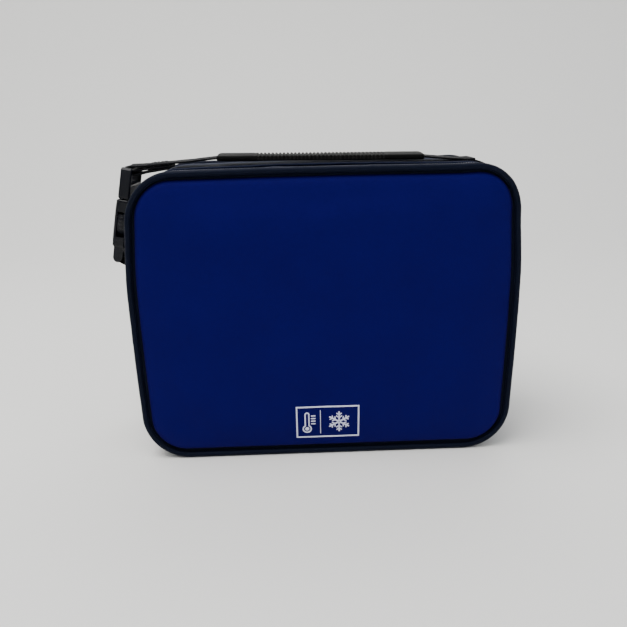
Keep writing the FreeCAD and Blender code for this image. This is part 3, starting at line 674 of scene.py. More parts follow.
def build_piping(name, side, *nodes):
    """The covered cord, with the flange of its cover sewn in beside it."""
    count = 760
    along = np.linspace(0, PIPING.length, count, endpoint=False)
    flat, normal = PIPING.at(along, np.zeros(count))
    middle = upright(flat, side * PIPING_MIDDLE)
    lifted = np.clip(middle[:, 2] / 12, 0, 1)
    middle += upright(normal, 0.0) * (0.16 * wander(middle, 14, 2) * lifted)[:, None]
    middle[:, 1] += 0.15 * wander(middle, 17, 4)
    cord = tube(bow(middle), PIPING_RADIUS * (0.96 + 0.045 * wander(middle, 5, 6)), 20, True)
    strip = np.stack([upright(PIPING.at(along, np.full(count, -inset))[0], side * (PIPING_MIDDLE + 0.6 - depth))
                      for inset, depth in PIPING_FLANGE], 1)
    strip_faces = grid_faces(count, 4, closed_rows=True)
    if side < 0:
        strip_faces = flipped(strip_faces)
    flange = (bow(strip), strip_faces, np.stack(crossed(along, np.arange(4) * 1.2), -1))
    return dress(new_object(name, *joined([cord, flange])), PIPING_CLOTH, "piping_cloth", *nodes)


bend_with_lid(build_piping("front_piping_cord", -1, "front_piping_lower", "front_piping_upper"))
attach(build_piping("back_piping_cord", 1, "back_piping"), "bag")


# ---------------------------------------------------------------- gusset
SEAM_RIGHT = GUSSET.side_at(SEAM_HEIGHT)
SEAM_LEFT = GUSSET.length - SEAM_RIGHT
STRAP_HALF = ANCHOR_HIGH[1]


def free_crown(y):
    """The top swells most in front of the strap and behind it, and less beneath it."""
    return 0.45 + 0.55 * np.clip((np.abs(y) - STRAP_HALF + 3) / 7, 0, 1)


def gusset_offset(y, flat):
    """How far the padded gusset stands out: pinched at its seams, with soft dents between."""
    spot = upright(flat, y)
    pinch = -1.1 * np.exp(-(GUSSET_END - np.abs(y)) / 2.6)
    lifted = np.clip(flat[..., 1] / 10, 0, 1)
    free = np.clip((np.abs(y) - STRAP_HALF - 1) / 5, 0, 1)
    dents = (0.75 * wander(spot, 34, 8) + 0.24 * wander(spot, 11, 12) - 0.2) * free
    puckers = 0.26 * wander(spot * [1, 0.35, 1], 3.6, 15) * np.exp(-(GUSSET_END - np.abs(y)) / 5)
    crown = 1.5 * (1 - (y / GUSSET_END) ** 2) * np.clip(1 - np.abs(flat[..., 0]) / (HALF - 12), 0, 1) ** 0.5
    above = smooth_step((flat[..., 1] - HEIGHT + 20) / 15)
    return (pinch + dents + puckers) * lifted + 0.12 + crown * above * free_crown(y)


def gusset_strip(start, end, y_low, y_high, hems):
    """A grid of points round the gusset between two depths, with turned hems beside the zip."""
    rows = int((end - start) / 2.2) + 1
    columns = max(4, int((y_high - y_low) / 1.7)) + 1
    along, y = crossed(np.linspace(start, end, rows), np.linspace(y_low, y_high, columns))
    flat, normal = GUSSET.at(along)
    out = gusset_offset(y, flat)
    for hem, edge in zip(hems, (y_low, y_high)):
        if hem:
            near = np.abs(y - edge)
            out += 0.35 * np.exp(-((near - 1.0) / 1.3) ** 2) - 0.25 * np.exp(-((near - 3.0) / 0.7) ** 2)
    out -= 0.55 * np.exp(-np.minimum(along - start, end - along) / 1.4)
    points = upright(flat + normal * out[..., None], y)
    points[..., 2] = np.maximum(points[..., 2], 0.0)
    return bow(points), np.stack([along, y], -1)


def build_gusset_piece(name, span, depths, hems, *nodes):
    """One padded length of the gusset; span is along the outline."""
    points, uvs = gusset_strip(*span, *depths, hems)
    obj = thicken(new_object(name, points, flipped(grid_faces(*points.shape[:2])), uvs), SHELL)
    dress(obj, NAVY, "navy_cloth")
    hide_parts(*nodes)
    return obj


def build_gusset():
    bottom, upper = (-SEAM_RIGHT, SEAM_RIGHT), (SEAM_RIGHT, SEAM_LEFT)
    shell = ("gusset_shell", "gusset_foam")
    whole, behind = (-GUSSET_END, GUSSET_END), (BAND_END + ZIP_SLOT, GUSSET_END)
    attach(build_gusset_piece("bottom_gusset", bottom, whole, (False, False), *shell), "bag")
    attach(build_gusset_piece("body_gusset", upper, behind, (True, False), *shell), "bag")
    bend_with_lid(build_gusset_piece("lid_gusset", upper, (-GUSSET_END, BAND_END), (False, True),
                                     "lid_band_shell", "lid_band_foam"))


build_gusset()


# ---------------------------------------------------------------- lining
TUB = Outline(LINING_HIGH[0] - LINING, LINING_LOW[2] + LINING, LINING_HIGH[2] - LINING,
              CORNER - SHELL - 4 - LINING)
WALL_FACE = LINING_HIGH[1] - LINING       # inner face of the lining on the back wall
LID_FACE = -WALL_FACE
MOUTH_BACK = TAPE_BODY_HIGH[1] - 0.2      # where the body's lining meets its zip tape
MOUTH_FRONT = TAPE_LID_LOW[1] + 0.2       # where the lid's lining meets its zip tape
TURN_OUT = [(0.0, 3.4), (0.25, 2.0), (1.0, 1.0), (2.3, 0.35), (3.9, 0.0)]   # lining turned out at the zip


def crease(spot):
    return 0.5 * wander(spot, 30, 21) + 0.24 * wander(spot, 10, 23)


def lining_wall(y, side):
    """The film over a whole wall; side is the way it faces, 1 to the back."""
    flat, triangles = panel_points(TUB, 3.2, [0.0])
    spot = upright(flat, y)
    near_edge = np.clip(TUB.inside(flat[:, 0], flat[:, 1]) / 8, 0, 1)
    spot[:, 1] += side * (0.35 + crease(spot) * near_edge)
    return bow(spot), triangles if side < 0 else flipped(triangles), flat


def lining_band(start, end, ys, outs):
    """The film round the inside between the given depths; outs are its distances outwards."""
    along, y = crossed(np.linspace(start, end, int((end - start) / 4.0) + 1), ys)
    flat, normal = TUB.at(along)
    free = np.where(np.array(outs) > 0.01, 0.0, 1.0)
    out = np.array(outs) - np.maximum(0.35 + crease(upright(flat, y)), 0) * free
    points = upright(flat + normal * out[..., None], y)
    return bow(points), grid_faces(*along.shape), np.stack([along, y], -1)


def build_film(name, parts, *nodes, body=None):
    film = thicken(new_object(name, *joined(parts)), 0.5, False)
    return dress(film, PEVA, "lining", *nodes, body=body)


def build_linings():
    low = TUB.side_at(SEAM_HEIGHT)
    high = TUB.length - low
    rear_y = [MOUTH_BACK + dy for dy, _ in TURN_OUT] + list(np.linspace(MOUTH_BACK + 7, WALL_FACE, 13))
    rear_out = [out for _, out in TURN_OUT] + [0.0] * 13
    build_film("tub_film", [lining_wall(WALL_FACE, -1), lining_band(low, high, rear_y, rear_out),
                            lining_band(-low, low, np.linspace(LID_FACE, WALL_FACE, 19), [0.0] * 19)],
               "body_lining", body="bag")
    front_y = [LID_FACE, LID_FACE + 0.8, LID_FACE + 1.6, MOUTH_FRONT - 1.2, MOUTH_FRONT]
    front_out = [0.0, 0.0, 0.6, 2.4, 3.4]
    bend_with_lid(build_film("lid_film", [lining_wall(LID_FACE, 1), lining_band(low, high, front_y, front_out)],
                             "lid_lining", "body_lining"))


build_linings()


# ---------------------------------------------------------------- bound seams inside
def build_threads(name, lines, slot_name, body=None, material=THREAD):
    """Rows of stitches as one piece."""
    return dress(new_object(name, *lines), material, slot_name, body=body)


def build_binding(name, low, high, node, body, starts_at=None):
    """Tape folded over the seam allowance that stands up inside, with its row of stitches."""
    inset = (LINING_HIGH[0] - LINING) - BACK_BINDING_HIGH[0]
    whole = starts_at is None
    start = 0.0 if whole else TUB.side_at(starts_at)
    end = TUB.length - start
    count = int((end - start) / 2.0)
    along = np.linspace(start, end, count, endpoint=not whole)
    flat, normal = TUB.at(along, np.full(count, -inset - 1.0))
    path = upright(flat, (low[1] + high[1]) / 2)
    path[:, 1] += 0.25 * wander(path, 16, 31)
    flat += normal * (0.2 * wander(path, 12, 32))[:, None]
    path[:, [0, 2]] = flat
    out = upright(normal, 0.0)
    thread = stitch_line(bow(path) - out * 0.95, -out, 3.2, 2.5, 0.2, 0.02)
    band = new_object(name, *tube(bow(path), 1 + 0.06 * wander(path, 6, 33), 16, whole, (1.0, 1.95)))
    dress(band, BINDING, "binding", node, body=body)
    build_threads(name + "_thread", thread, "binding", body)


build_binding("rear_bound_seam", BACK_BINDING_LOW, BACK_BINDING_HIGH, "back_seam_binding", "bag")
build_binding("lid_bound_seam", LID_BINDING_LOW, LID_BINDING_HIGH, "lid_seam_binding", "lid",
              LID_BINDING_LOW[2])


# ---------------------------------------------------------------- zip
TOOTH_PITCH = 1.6
ZIP_MIDDLE = (COIL_LID_HIGH[1] + COIL_BODY_LOW[1]) / 2
ZIP_START = GUSSET.side_at(COIL_LID_LOW[2])
ZIP_END = GUSSET.length - ZIP_START


def zip_line(along, y, out):
    """Points on the zip's run, at a distance out from the gusset's outline, and their normals."""
    flat, normal = GUSSET.at(along, out)
    return bow(upright(flat, y)), upright(normal, 0.0)


def build_tape(name, low_y, high_y, node, body):
    start = GUSSET.side_at(TAPE_LID_LOW[2])
    rows = int((GUSSET.length - 2 * start) / 2.0)
    along, y = crossed(np.linspace(start, GUSSET.length - start, rows), np.linspace(low_y, high_y, 7))
    ripple = 0.08 * wander(np.stack([along, y, np.zeros_like(along)], -1), 7, 41)
    points, _ = zip_line(along, y, ripple - SHELL - 0.02)
    obj = new_object(name, points, flipped(grid_faces(*along.shape)), np.stack([along, y], -1))
    dress(thicken(obj, 0.6), TAPE, "zip_tape", node, body=body)


def build_coil(name, side, shift, node, body):
    """Teeth of one side, each a loop that reaches between the teeth of the other side."""
    root, head = ZIP_MIDDLE + side * 2.5, ZIP_MIDDLE - side * 0.55
    ys = np.array([root, root - side * 0.5, ZIP_MIDDLE + side * 0.7, head + side * 0.25, head])
    heights = np.array([-0.7, -0.25, -0.15, -0.2, -0.5])
    radii = np.array([0.2, 0.34, 0.34, 0.46, 0.25])
    parts = []
    for place in np.arange(ZIP_START + shift, ZIP_END, TOOTH_PITCH):
        path, normals = zip_line(np.full(5, place), ys, heights)
        parts.append(tube(path, radii, 6, up=normals[0], squash=(1.0, 1.25)))
    along = np.arange(ZIP_START, ZIP_END, 2.0)
    cord, _ = zip_line(along, ZIP_MIDDLE + side * 2.0, np.full(len(along), -0.62))
    coil = new_object(name, *joined(parts + [tube(cord, 0.42, 8)]))
    dress(coil, COIL, "zip_coil", node, body=body)
    seam, normals = zip_line(along, ZIP_MIDDLE + side * 3.2, np.full(len(along), -0.72))
    build_threads(name + "_thread", stitch_line(seam, normals, 1.9, 1.6, 0.15, 0.0), "zip_tape", body)


build_tape("lid_zip_tape", TAPE_LID_LOW[1], TAPE_LID_HIGH[1], "zip_tape_lid", "lid")
build_tape("body_zip_tape", TAPE_BODY_LOW[1], TAPE_BODY_HIGH[1], "zip_tape_body", "bag")
build_coil("lid_teeth", -1, 0.0, "zip_coil_lid", "lid")
build_coil("body_teeth", 1, TOOTH_PITCH / 2, "zip_coil_body", "bag")


def hem_stitches(name, y, body=None):
    """A row of topstitching round the upper gusset at one depth."""
    along = np.arange(SEAM_RIGHT + 1, SEAM_LEFT - 1, 2.0)
    ys = np.full(len(along), float(y))
    line, normals = zip_line(along, ys, gusset_offset(ys, GUSSET.at(along)[0]))
    return build_threads(name, stitch_line(line, normals, 3.3, 2.6, 0.22, 0.05), "navy_cloth", body)


HEM = 3.0                         # from a hem's edge to its stitches
bend_with_lid(hem_stitches("lid_hem_thread", BAND_END - HEM))
hem_stitches("body_hem_thread", BAND_END + ZIP_SLOT + HEM, "bag")


def rounded_block(low, high, radius, unevenness):
    """A soft-edged block, finely divided, with faintly uneven faces."""
    extent = high - low
    counts = [max(2, int(math.ceil(e / 1.2))) for e in extent]
    parts = []
    for axis in range(3):
        a, b = (axis + 1) % 3, (axis + 2) % 3
        u, v = crossed(np.linspace(low[a], high[a], counts[a] + 1), np.linspace(low[b], high[b], counts[b] + 1))
        for end in (low, high):
            grid = np.zeros((*u.shape, 3))
            grid[..., a], grid[..., b], grid[..., axis] = u, v, end[axis]
            faces = grid_faces(*u.shape)
            parts.append((grid, flipped(faces) if end is low else faces, np.stack([u, v], -1)))
    points, faces, uvs = joined(parts)
    inner = np.clip(points, low + radius, high - radius)
    away = points - inner
    length = np.linalg.norm(away, axis=1)
    points = inner + away / np.maximum(length, 1e-6)[:, None] * np.minimum(length, radius)[:, None]
    points += (points - (low + high) / 2) / extent * (unevenness * wander(points, 4, 51))[:, None]
    return bow(points), faces, uvs


def build_end_tab(name, side, low, high):
    """The cloth tab sewn over one end of the zip; side is 1 on the right."""
    face = high[0] + 0.15
    ends = sorted((side * (HALF - 0.2), side * face))
    block = rounded_block(np.array([ends[0], *low[1:]]), np.array([ends[1], *high[1:]]), 0.5, 0.3)
    tab = new_object(name, *block)
    weld = tab.modifiers.new("weld", "WELD")
    weld.merge_threshold = 0.01 * MM
    dress(tab, NAVY, "navy_cloth", "zip_end_tabs", body="bag")
    margin = 1.6
    (y0, z0), (y1, z1) = low[1:] + margin, high[1:] - margin
    line = bow(np.array([(side * face, y, z) for y, z in ((y0, z0), (y1, z0), (y1, z1), (y0, z1), (y0, z0))]))
    stitches = stitch_line(line, [(side, 0, 0)] * 5, 2.4, 1.9, 0.2, 0.02)
    build_threads(name + "_thread", stitches, "navy_cloth", "bag")


build_end_tab("zip_end_cloth_left", -1, *corners("zip_end_tabs"))
build_end_tab("zip_end_cloth_right", 1, *corners("zip_end_tabs"))


def soften_edges(node_name, material, width):
    """Rounds the edges of a moulded or cast CAD piece and gives it its material."""
    obj = bpy.data.objects[node_name]
    bevel = obj.modifiers.new("edge", "BEVEL")
    bevel.width = width * MM
    bevel.segments = 3
    bevel.limit_method = "ANGLE"
    bevel.angle_limit = math.radians(35)
    bevel.harden_normals = False
    obj.data.materials.clear()
    obj.data.materials.append(material)


soften_edges("zip_slider", ENAMEL, 0.25)
soften_edges("zip_pull", ENAMEL, 0.22)


# ---------------------------------------------------------------- mesh pocket in the lid
POCKET_Y = (POCKET_LOW[1] + POCKET_HIGH[1]) / 2
POCKET_WIDE, POCKET_TALL = POCKET_HIGH[0] - POCKET_LOW[0], POCKET_HIGH[2] - POCKET_LOW[2]


def net_point(x, z):
    """The net's yarns, bellied out of the flat."""
    spot = np.stack([x, np.full(len(x), POCKET_Y), z], -1)
    up, across = (z - POCKET_LOW[2]) / POCKET_TALL, (x - POCKET_LOW[0]) / POCKET_WIDE
    belly = 0.9 * np.sin(np.pi * up) * np.sin(np.pi * across)
    spot[:, 1] += np.clip(belly, 0, 1) + 0.25 * wander(spot, 25, 61)
    return spot


def build_net():
    """Two crossing sets of yarns."""
    low, high, step = POCKET_LOW, POCKET_HIGH, 3.0
    z = np.arange(low[2], high[2] + 0.01, step / 2)
    parts = []
    for lean in (-1, 1):
        wiggle = 0.32 * np.cos(np.pi * (z - low[2]) / (step / 2)) * lean
        for start in np.arange(low[0] - POCKET_TALL, high[0] + POCKET_TALL, step):
            x = start + lean * (z - low[2]) + wiggle + (POCKET_TALL if lean < 0 else 0)
            keep = (x >= low[0]) & (x <= high[0])
            if keep.sum() >= 3:
                parts.append(tube(net_point(x[keep], z[keep]), 0.21, 4))
    return dress(new_object("pocket_net", *joined(parts)), MESH, "mesh", "mesh_pocket", body="lid")


def build_pocket_hem():
    """Binding below the net and at its sides, and the stitches in it."""
    low, high, count = POCKET_LOW, POCKET_HIGH, 60
    left, right = low[0] + 2, high[0] - 2
    hems, threads = [], []
    for x0, z0, x1, z1 in ((left, low[2] + 2.5, right, low[2] + 2.5), (left, low[2] + 0.5, left, high[2] + 6),
                           (right, low[2] + 0.5, right, high[2] + 6)):
        path = np.linspace((x0, POCKET_Y - 0.1, z0), (x1, POCKET_Y - 0.1, z1), count)
        path[:, 1] += 0.08 * wander(path, 8, 62)
        hems.append(tube(path, 1.0, 12, squash=(2.4, 0.55)))
        threads.append(stitch_line(path + [0, 0.55, 0], [(0, 1, 0)] * count, 3.2, 2.5, 0.18, 0.02))
    return dress(new_object("pocket_hem", *joined(hems)), BINDING, "binding", body="lid"), threads


def build_pocket_band():
    """The gathered elastic band along the pocket's mouth, and the stitches in it."""
    low, high = POCKET_EDGE_LOW, POCKET_EDGE_HIGH
    rows, columns = 260, 9
    x, z = crossed(np.linspace(low[0], high[0], rows), np.linspace(low[2], high[2], columns))
    belly = np.sin(np.pi * (z - low[2]) / (high[2] - low[2]))
    phase = 1.3 * wander(np.stack([x, np.zeros_like(x), z], -1), 14, 63)
    gather = 0.28 * np.sin(x * 2 * np.pi / 2.9 + phase) * (0.35 + 0.65 * belly)
    front = np.stack([x, high[1] - 0.6 + 0.45 * belly + gather, z], -1).reshape(-1, 3)
    back = np.stack([x, np.full_like(x, low[1] + 0.1), z], -1).reshape(-1, 3)
    faces, count = grid_faces(rows, columns), rows * columns
    rim = ([i * columns for i in range(rows)] + [(rows - 1) * columns + j for j in range(1, columns)]
           + [i * columns + columns - 1 for i in range(rows - 2, -1, -1)] + list(range(columns - 2, 0, -1)))
    faces = flipped(faces) + [tuple(i + count for i in f) for f in faces]
    faces += [(a, b, b + count, a + count) for a, b in zip(rim, rim[1:] + rim[:1])]
    uvs = np.stack([x, z], -1).reshape(-1, 2)
    band = new_object("pocket_elastic", np.concatenate([front, back]), faces, np.concatenate([uvs, uvs]))
    dress(band, BINDING, "binding", "pocket_binding", body="lid")
    threads = []
    for height in (low[2] + 2.0, high[2] - 2.0):
        path = np.array([(x, high[1] - 0.15, height) for x in np.linspace(low[0] + 1, high[0] - 1, 90)])
        threads.append(stitch_line(path, [(0, 1, 0)] * 90, 2.9, 2.2, 0.18, 0.05))
    return band, threads


def build_pocket():
    """A net hemmed below and at its sides, and gathered into an elastic band above."""
    net = build_net()
    hem, hem_threads = build_pocket_hem()
    band, band_threads = build_pocket_band()
    thread = build_threads("pocket_thread", joined(hem_threads + band_threads), "binding", "lid")


build_pocket()


# ---------------------------------------------------------------- badge
def dense_loop(loop, step=1.1):
    """The same closed outline with points no further apart than the step."""
    dense = []
    for (x0, z0), (x1, z1) in zip(loop, loop[1:] + loop[:1]):
        count = max(1, math.ceil(math.hypot(x1 - x0, z1 - z0) / step))
        dense += [(x0 + (x1 - x0) * k / count, z0 + (z1 - z0) * k / count) for k in range(count)]
    return dense


def badge_shape(loops):
    """A flat print laid on the curved cloth; loops are closed outlines, holes after their outline."""
    points, faces = [], []
    for outline, holes in loops:
        outline, holes = dense_loop(outline), [dense_loop(hole) for hole in holes]
        flat = [Vector(p) for p in outline]
        borders = [list(range(len(outline)))]
        for hole in holes:
            borders.append(list(range(len(flat), len(flat) + len(hole))))
            flat += [Vector(p) for p in hole]
        result = geometry.delaunay_2d_cdt(flat, [], borders, 1, 1e-5)
        offset = len(points)
        points += [tuple(p) for p in result[0]]
        solid = [f for f, sources in zip(result[2], result[5]) if list(sources) == [0]]
        faces += [tuple(i + offset for i in f) for f in solid]
    return np.array(points), faces


def box_loop(left, low, right, high):
    return [(left, low), (right, low), (right, high), (left, high)]


def arc_loop(x, z, radius, turn):
    """Points on an arc at the given angles, in radians from +X towards +Z."""
    return [(x + radius * math.cos(a), z + radius * math.sin(a)) for a in turn]


def bar_loop(x0, z0, x1, z1, half):
    """A round-ended bar."""
    angle, quarter = math.atan2(z1 - z0, x1 - x0), math.pi / 2
    return (arc_loop(x1, z1, half, angle + np.linspace(-quarter, quarter, 7))
            + arc_loop(x0, z0, half, angle + np.linspace(quarter, 3 * quarter, 7)))


def thermometer(x, z, top):
    """A bulb with a hollow stem, its filling and the marks beside it; x and z are the bulb's middle."""
    stem, cap = top - 1.75, np.radians(np.linspace(0, 180, 13))
    outer = arc_loop(x, z, 3.3, np.radians(np.linspace(122, 418, 30))) + arc_loop(x, stem, 1.75, cap)
    hollow = arc_loop(x, z, 2.35, np.radians(np.linspace(112, 428, 30))) + arc_loop(x, stem, 0.85, cap)
    filling = arc_loop(x, z, 1.45, np.linspace(0, 2 * math.pi, 28, endpoint=False))
    loops = [(outer, [hollow]), (filling, [])]
    for mark in range(4):
        height = z + 4.1 + 2.1 * mark
        loops.append((bar_loop(x + 3.1, height, x + 5.6, height, 0.42), []))
    return loops


def snowflake(x, z):
    """Six plain arms, each with two pairs of twigs."""
    loops = []
    for angle in np.radians(90 + 60 * np.arange(6)):
        dx, dz = math.cos(angle), math.sin(angle)
        loops.append((bar_loop(x + 0.9 * dx, z + 0.9 * dz, x + 7.6 * dx, z + 7.6 * dz, 0.55), []))
        for reach, length in ((3.2, 2.2), (5.4, 1.9)):
            root = (x + reach * dx, z + reach * dz)
            for side in (angle + math.radians(-55), angle + math.radians(55)):
                tip = (root[0] + length * math.cos(side), root[1] + length * math.sin(side))
                loops.append((bar_loop(*root, *tip, 0.42), []))
    return loops


def build_badge():
    left, low = BADGE_LOW[0] + 0.2, BADGE_LOW[2] - 0.8
    right, high = BADGE_HIGH[0] - 0.2, BADGE_HIGH[2] - 0.2
    line = 1.05
    divide = left + 0.385 * (right - left)
    loops = [(box_loop(left, low, right, high), [box_loop(left + line, low + line, right - line, high - line)]),
             (box_loop(divide - 0.22, low + 3.2, divide + 0.22, high - 3.2), [])]
    loops += thermometer((left + line + divide) / 2 - 1.4, low + 7.4, high - 4.6)
    loops += snowflake((divide + right - line) / 2, (low + high) / 2)
    flat, faces = badge_shape(loops)
    depth = np.array([front_face_y(x, z) for x, z in flat]) - 0.2
    badge = thicken(new_object("front_print", upright(flat, depth), faces, flat), 0.22)
    dress(sharpen(badge), PRINT, "badge", "front_badge", body="bag")


build_badge()


# ---------------------------------------------------------------- webbing
WEB = 1.3                         # thickness of the webbing
WEB_WIDTH = ANCHOR_HIGH[1] - ANCHOR_LOW[1]
BOX_HALF = 9.6                    # half the width of a stitched box across the webbing
LEAN = math.radians(11.5)         # how far the buckle leans in at its top
BAR_RADIUS = 2.0                  # of the buckle's two bars
BAR_SPACING = 60.0
LOOP_MIDDLE = BAR_RADIUS + 0.15 + WEB / 2
PLUG_BAR = np.array([-131.0, 200.4])                          # X and Z of the plug's bar
BUCKLE_DOWN = np.array([-math.sin(LEAN), -math.cos(LEAN)])    # from the plug's bar to the socket's
BUCKLE_OUT = np.array([-math.cos(LEAN), math.sin(LEAN)])      # away from the bag
SOCKET_BAR = PLUG_BAR + BAR_SPACING * BUCKLE_DOWN
STRAP_SIDE = HALF + 0.5 + WEB / 2
STRAP_TOP = HEIGHT + 0.5 + WEB / 2
STRAP_UNDER = PLUG_BAR[1] + LOOP_MIDDLE - 2 * WEB - 0.5       # lower layer of the sewn loop
GRIP_MIDDLE = (GRIP_LOW[2] + GRIP_HIGH[2]) / 2
GRIP_END = GRIP_HIGH[0]
TAB_BEND = 133.5                                              # where the tab's two layers part
TAB_MIDDLE = 123.0                                            # height of the middle of its sewn stretch


def rounded_path(places, step=1.0):
    """Points along straight runs joined by arcs; each place is (x, z, radius)."""
    spots = [np.array(place[:2], float) for place in places]
    path = [spots[0]]
    for before, here, after, place in zip(spots, spots[1:], spots[2:], places[1:]):
        back, on = before - here, after - here
        back, on = back / np.linalg.norm(back), on / np.linalg.norm(on)
        turn = math.pi - math.acos(np.clip(back @ on, -1, 1))
        radius = place[2]
        reach = radius * math.tan(turn / 2)
        middle = here + (back + on) / np.linalg.norm(back + on) * radius / math.cos(turn / 2)
        start, end = here + back * reach, here + on * reach
        count = max(3, int(radius * turn / step) + 1)
        first, last = start - middle, end - middle
        for k in range(count + 1):
            share = k / count
            blend = first * math.sin((1 - share) * turn) + last * math.sin(share * turn)
            path.append(middle + blend / math.sin(turn))
    path.append(spots[-1])
    dense = [path[0]]
    for a, b in zip(path, path[1:]):
        pieces = max(1, int(np.linalg.norm(b - a) / step))
        dense += [a + (b - a) * k / pieces for k in range(1, pieces + 1)]
    dense = np.array(dense)
    keep = np.concatenate([[True], np.linalg.norm(np.diff(dense, axis=0), axis=1) > 1e-6])
    return dense[keep]


def arc_path(centre, radius, start, end, count=24):
    """Points round a bar, angles in degrees from +X towards +Z."""
    angle = np.radians(np.linspace(start, end, count))
    return np.stack([centre[0] + radius * np.cos(angle), centre[1] + radius * np.sin(angle)], -1)


def flat_normals(path):
    """The way to the left of a path, at each of its points."""
    ahead = np.gradient(path, axis=0)
    ahead /= np.linalg.norm(ahead, axis=1)[:, None]
    return np.stack([-ahead[:, 1], ahead[:, 0]], -1)


def ribbon(path, seed):
    """Webbing along a path in X and Z: rounded edges, faintly cupped and wavering."""
    normal = flat_normals(path)
    half_w, half_t = WEB_WIDTH / 2, WEB / 2
    edge = half_t * 0.9
    across = np.linspace(-half_w + edge, half_w - edge, 15)
    arc = np.radians([30, 60, 90, 120, 150])
    section = [(y, half_t) for y in across]
    section += [(half_w - edge + edge * math.sin(a), half_t * math.cos(a)) for a in arc]
    section += [(y, -half_t) for y in across[::-1]]
    section += [(-half_w + edge - edge * math.sin(a), -half_t * math.cos(a)) for a in arc]
    section = np.array(section)
    along = distances(path)
    spot = np.stack([along, np.zeros_like(along), np.full_like(along, seed)], -1)
    drift = 0.14 * wander(spot, 19, 71 + seed)
    shift = 0.15 * wander(spot, 33, 75 + seed)
    rise = section[:, 1] + 0.10 * (1 - (section[:, 0] / half_w) ** 2) + drift[:, None]
    points = upright(path[:, None] + normal[:, None] * rise[..., None], section[:, 0] + shift[:, None])
    uvs = np.stack(crossed(along, section[:, 0]), -1)
    return points.reshape(-1, 3), tube_faces(len(path), len(section)), uvs.reshape(-1, 2)


def build_webbing(name, path, seed, *nodes, body=None):
    return dress(sharpen(new_object(name, *ribbon(path, seed)), 60), WEBBING, "webbing", *nodes, body=body)


def box_stitches(name, body, middle, along, out, half_length, lift):
    """A stitched box with its diagonals; along and out are unit directions in X and Z."""
    middle, along, out = (np.array(v, float) for v in (middle, along, out))
    spots = middle + np.outer([-half_length, half_length], along) + out * lift
    (x0, z0), (x1, z1) = spots
    first, second = (x0, -BOX_HALF, z0), (x1, -BOX_HALF, z1)
    third, fourth = (x1, BOX_HALF, z1), (x0, BOX_HALF, z0)
    lines = [[first, second, third, fourth, first], [first, third], [fourth, second]]
    normal = (out[0], 0, out[1])
    stitches = joined([stitch_line(line, [normal] * len(line), 2.6, 2.0, 0.26, 0.03) for line in lines])
    build_threads(name, stitches, "webbing", body, BLACK_THREAD)


def strap_route():
    """The strap's middle line from its sewn end up the right side, over the top and to the plug's bar."""
    return rounded_path([(STRAP_SIDE, ANCHOR_LOW[2] + 0.4, 0), (STRAP_SIDE, STRAP_TOP, CORNER + 0.5 + WEB / 2),
                         (GRIP_END + 33, STRAP_TOP, 50), (GRIP_END, GRIP_MIDDLE, 40),
                         (-GRIP_END, GRIP_MIDDLE, 40),
                         (-GRIP_END - 18, PLUG_BAR[1] + LOOP_MIDDLE + 0.2, 60),
                         (PLUG_BAR[0], PLUG_BAR[1] + LOOP_MIDDLE, 0)])


def handle_rise(x):
    """The handle stands a little off the bag, more at its left end."""
    return (1.15 - np.clip(x / GRIP_END, -1.2, 1.0)) * between(x, -128, 118, 45, 50)


def follow_side(path):
    """Moves the strap's route with the swell of the bag's right side, and lifts its top."""
    moved = bow(upright(path, 0.0))
    share = np.clip((path[:, 0] - GRIP_END - 10) / 25, 0, 1)[:, None]
    path = path + (moved[:, [0, 2]] - path) * share
    on_top = smooth_step((path[:, 1] - HEIGHT + 25) / 20)
    path[:, 1] += handle_rise(path[:, 0]) * on_top
    return path


def build_strap():
    """The whole strap, with the loop round the plug's bar and its tail sewn under the strap."""
    bar_x, bar_z = PLUG_BAR
    under, over = STRAP_UNDER, STRAP_UNDER + WEB + 0.1
    tail = rounded_path([(bar_x, bar_z - LOOP_MIDDLE, 0), (bar_x + 6, bar_z - LOOP_MIDDLE + 0.3, 9),
                         (bar_x + 13, under - 1.0, 12), (bar_x + 27, under, 0)])
    turn = arc_path((bar_x + 27, (under + over) / 2), (over - under) / 2, -90, 90, 12)
    fold = rounded_path([(bar_x + 27, over, 0), (bar_x + 12, over - 0.35, 20), (bar_x + 3.2, over - 1.1, 0)])
    path = follow_side(np.concatenate([strap_route(), arc_path(PLUG_BAR, LOOP_MIDDLE, 90, 270)[1:], tail[1:],
                                       turn[1:], fold[1:]]))
    strap = build_webbing("carry_strap", path, 1.0, "handle_webbing", "handle_anchor")
    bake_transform(strap)
    return path


def build_strap_end():
    """The fold of webbing over the strap's sewn end on the right side."""
    low, high = ANCHOR_LOW[2], ANCHOR_HIGH[2]
    x = STRAP_SIDE + WEB + 0.05
    under = follow_side(rounded_path([(x, high - 1.2, 0), (x, low + 0.6, 0)]))
    build_webbing("strap_end_fold", under, 3.0, "handle_anchor", body="bag")
    middle = follow_side(np.array([[STRAP_SIDE + WEB, (low + high) / 2]]))[0]
    box_stitches("strap_end_thread", "bag", middle, (0, 1), (1, 0), 8.2, WEB / 2 + 0.12)


def build_loop_stitches(path):
    """The stitched box that closes the loop round the plug's bar."""
    run = path[:np.argmax(path[:, 0] <= PLUG_BAR[0] + 0.01) + 1]
    run = run[run[:, 0] < 0][::-1]
    spans = PLUG_BAR[0] + 13, PLUG_BAR[0] + 24
    start, end = (np.array([x, np.interp(x, run[:, 0], run[:, 1])]) for x in spans)
    along = (end - start) / np.linalg.norm(end - start)
    box_stitches("loop_thread", "handle", (start + end) / 2, along, (-along[1], along[0]), 5.2, WEB / 2 + 0.2)


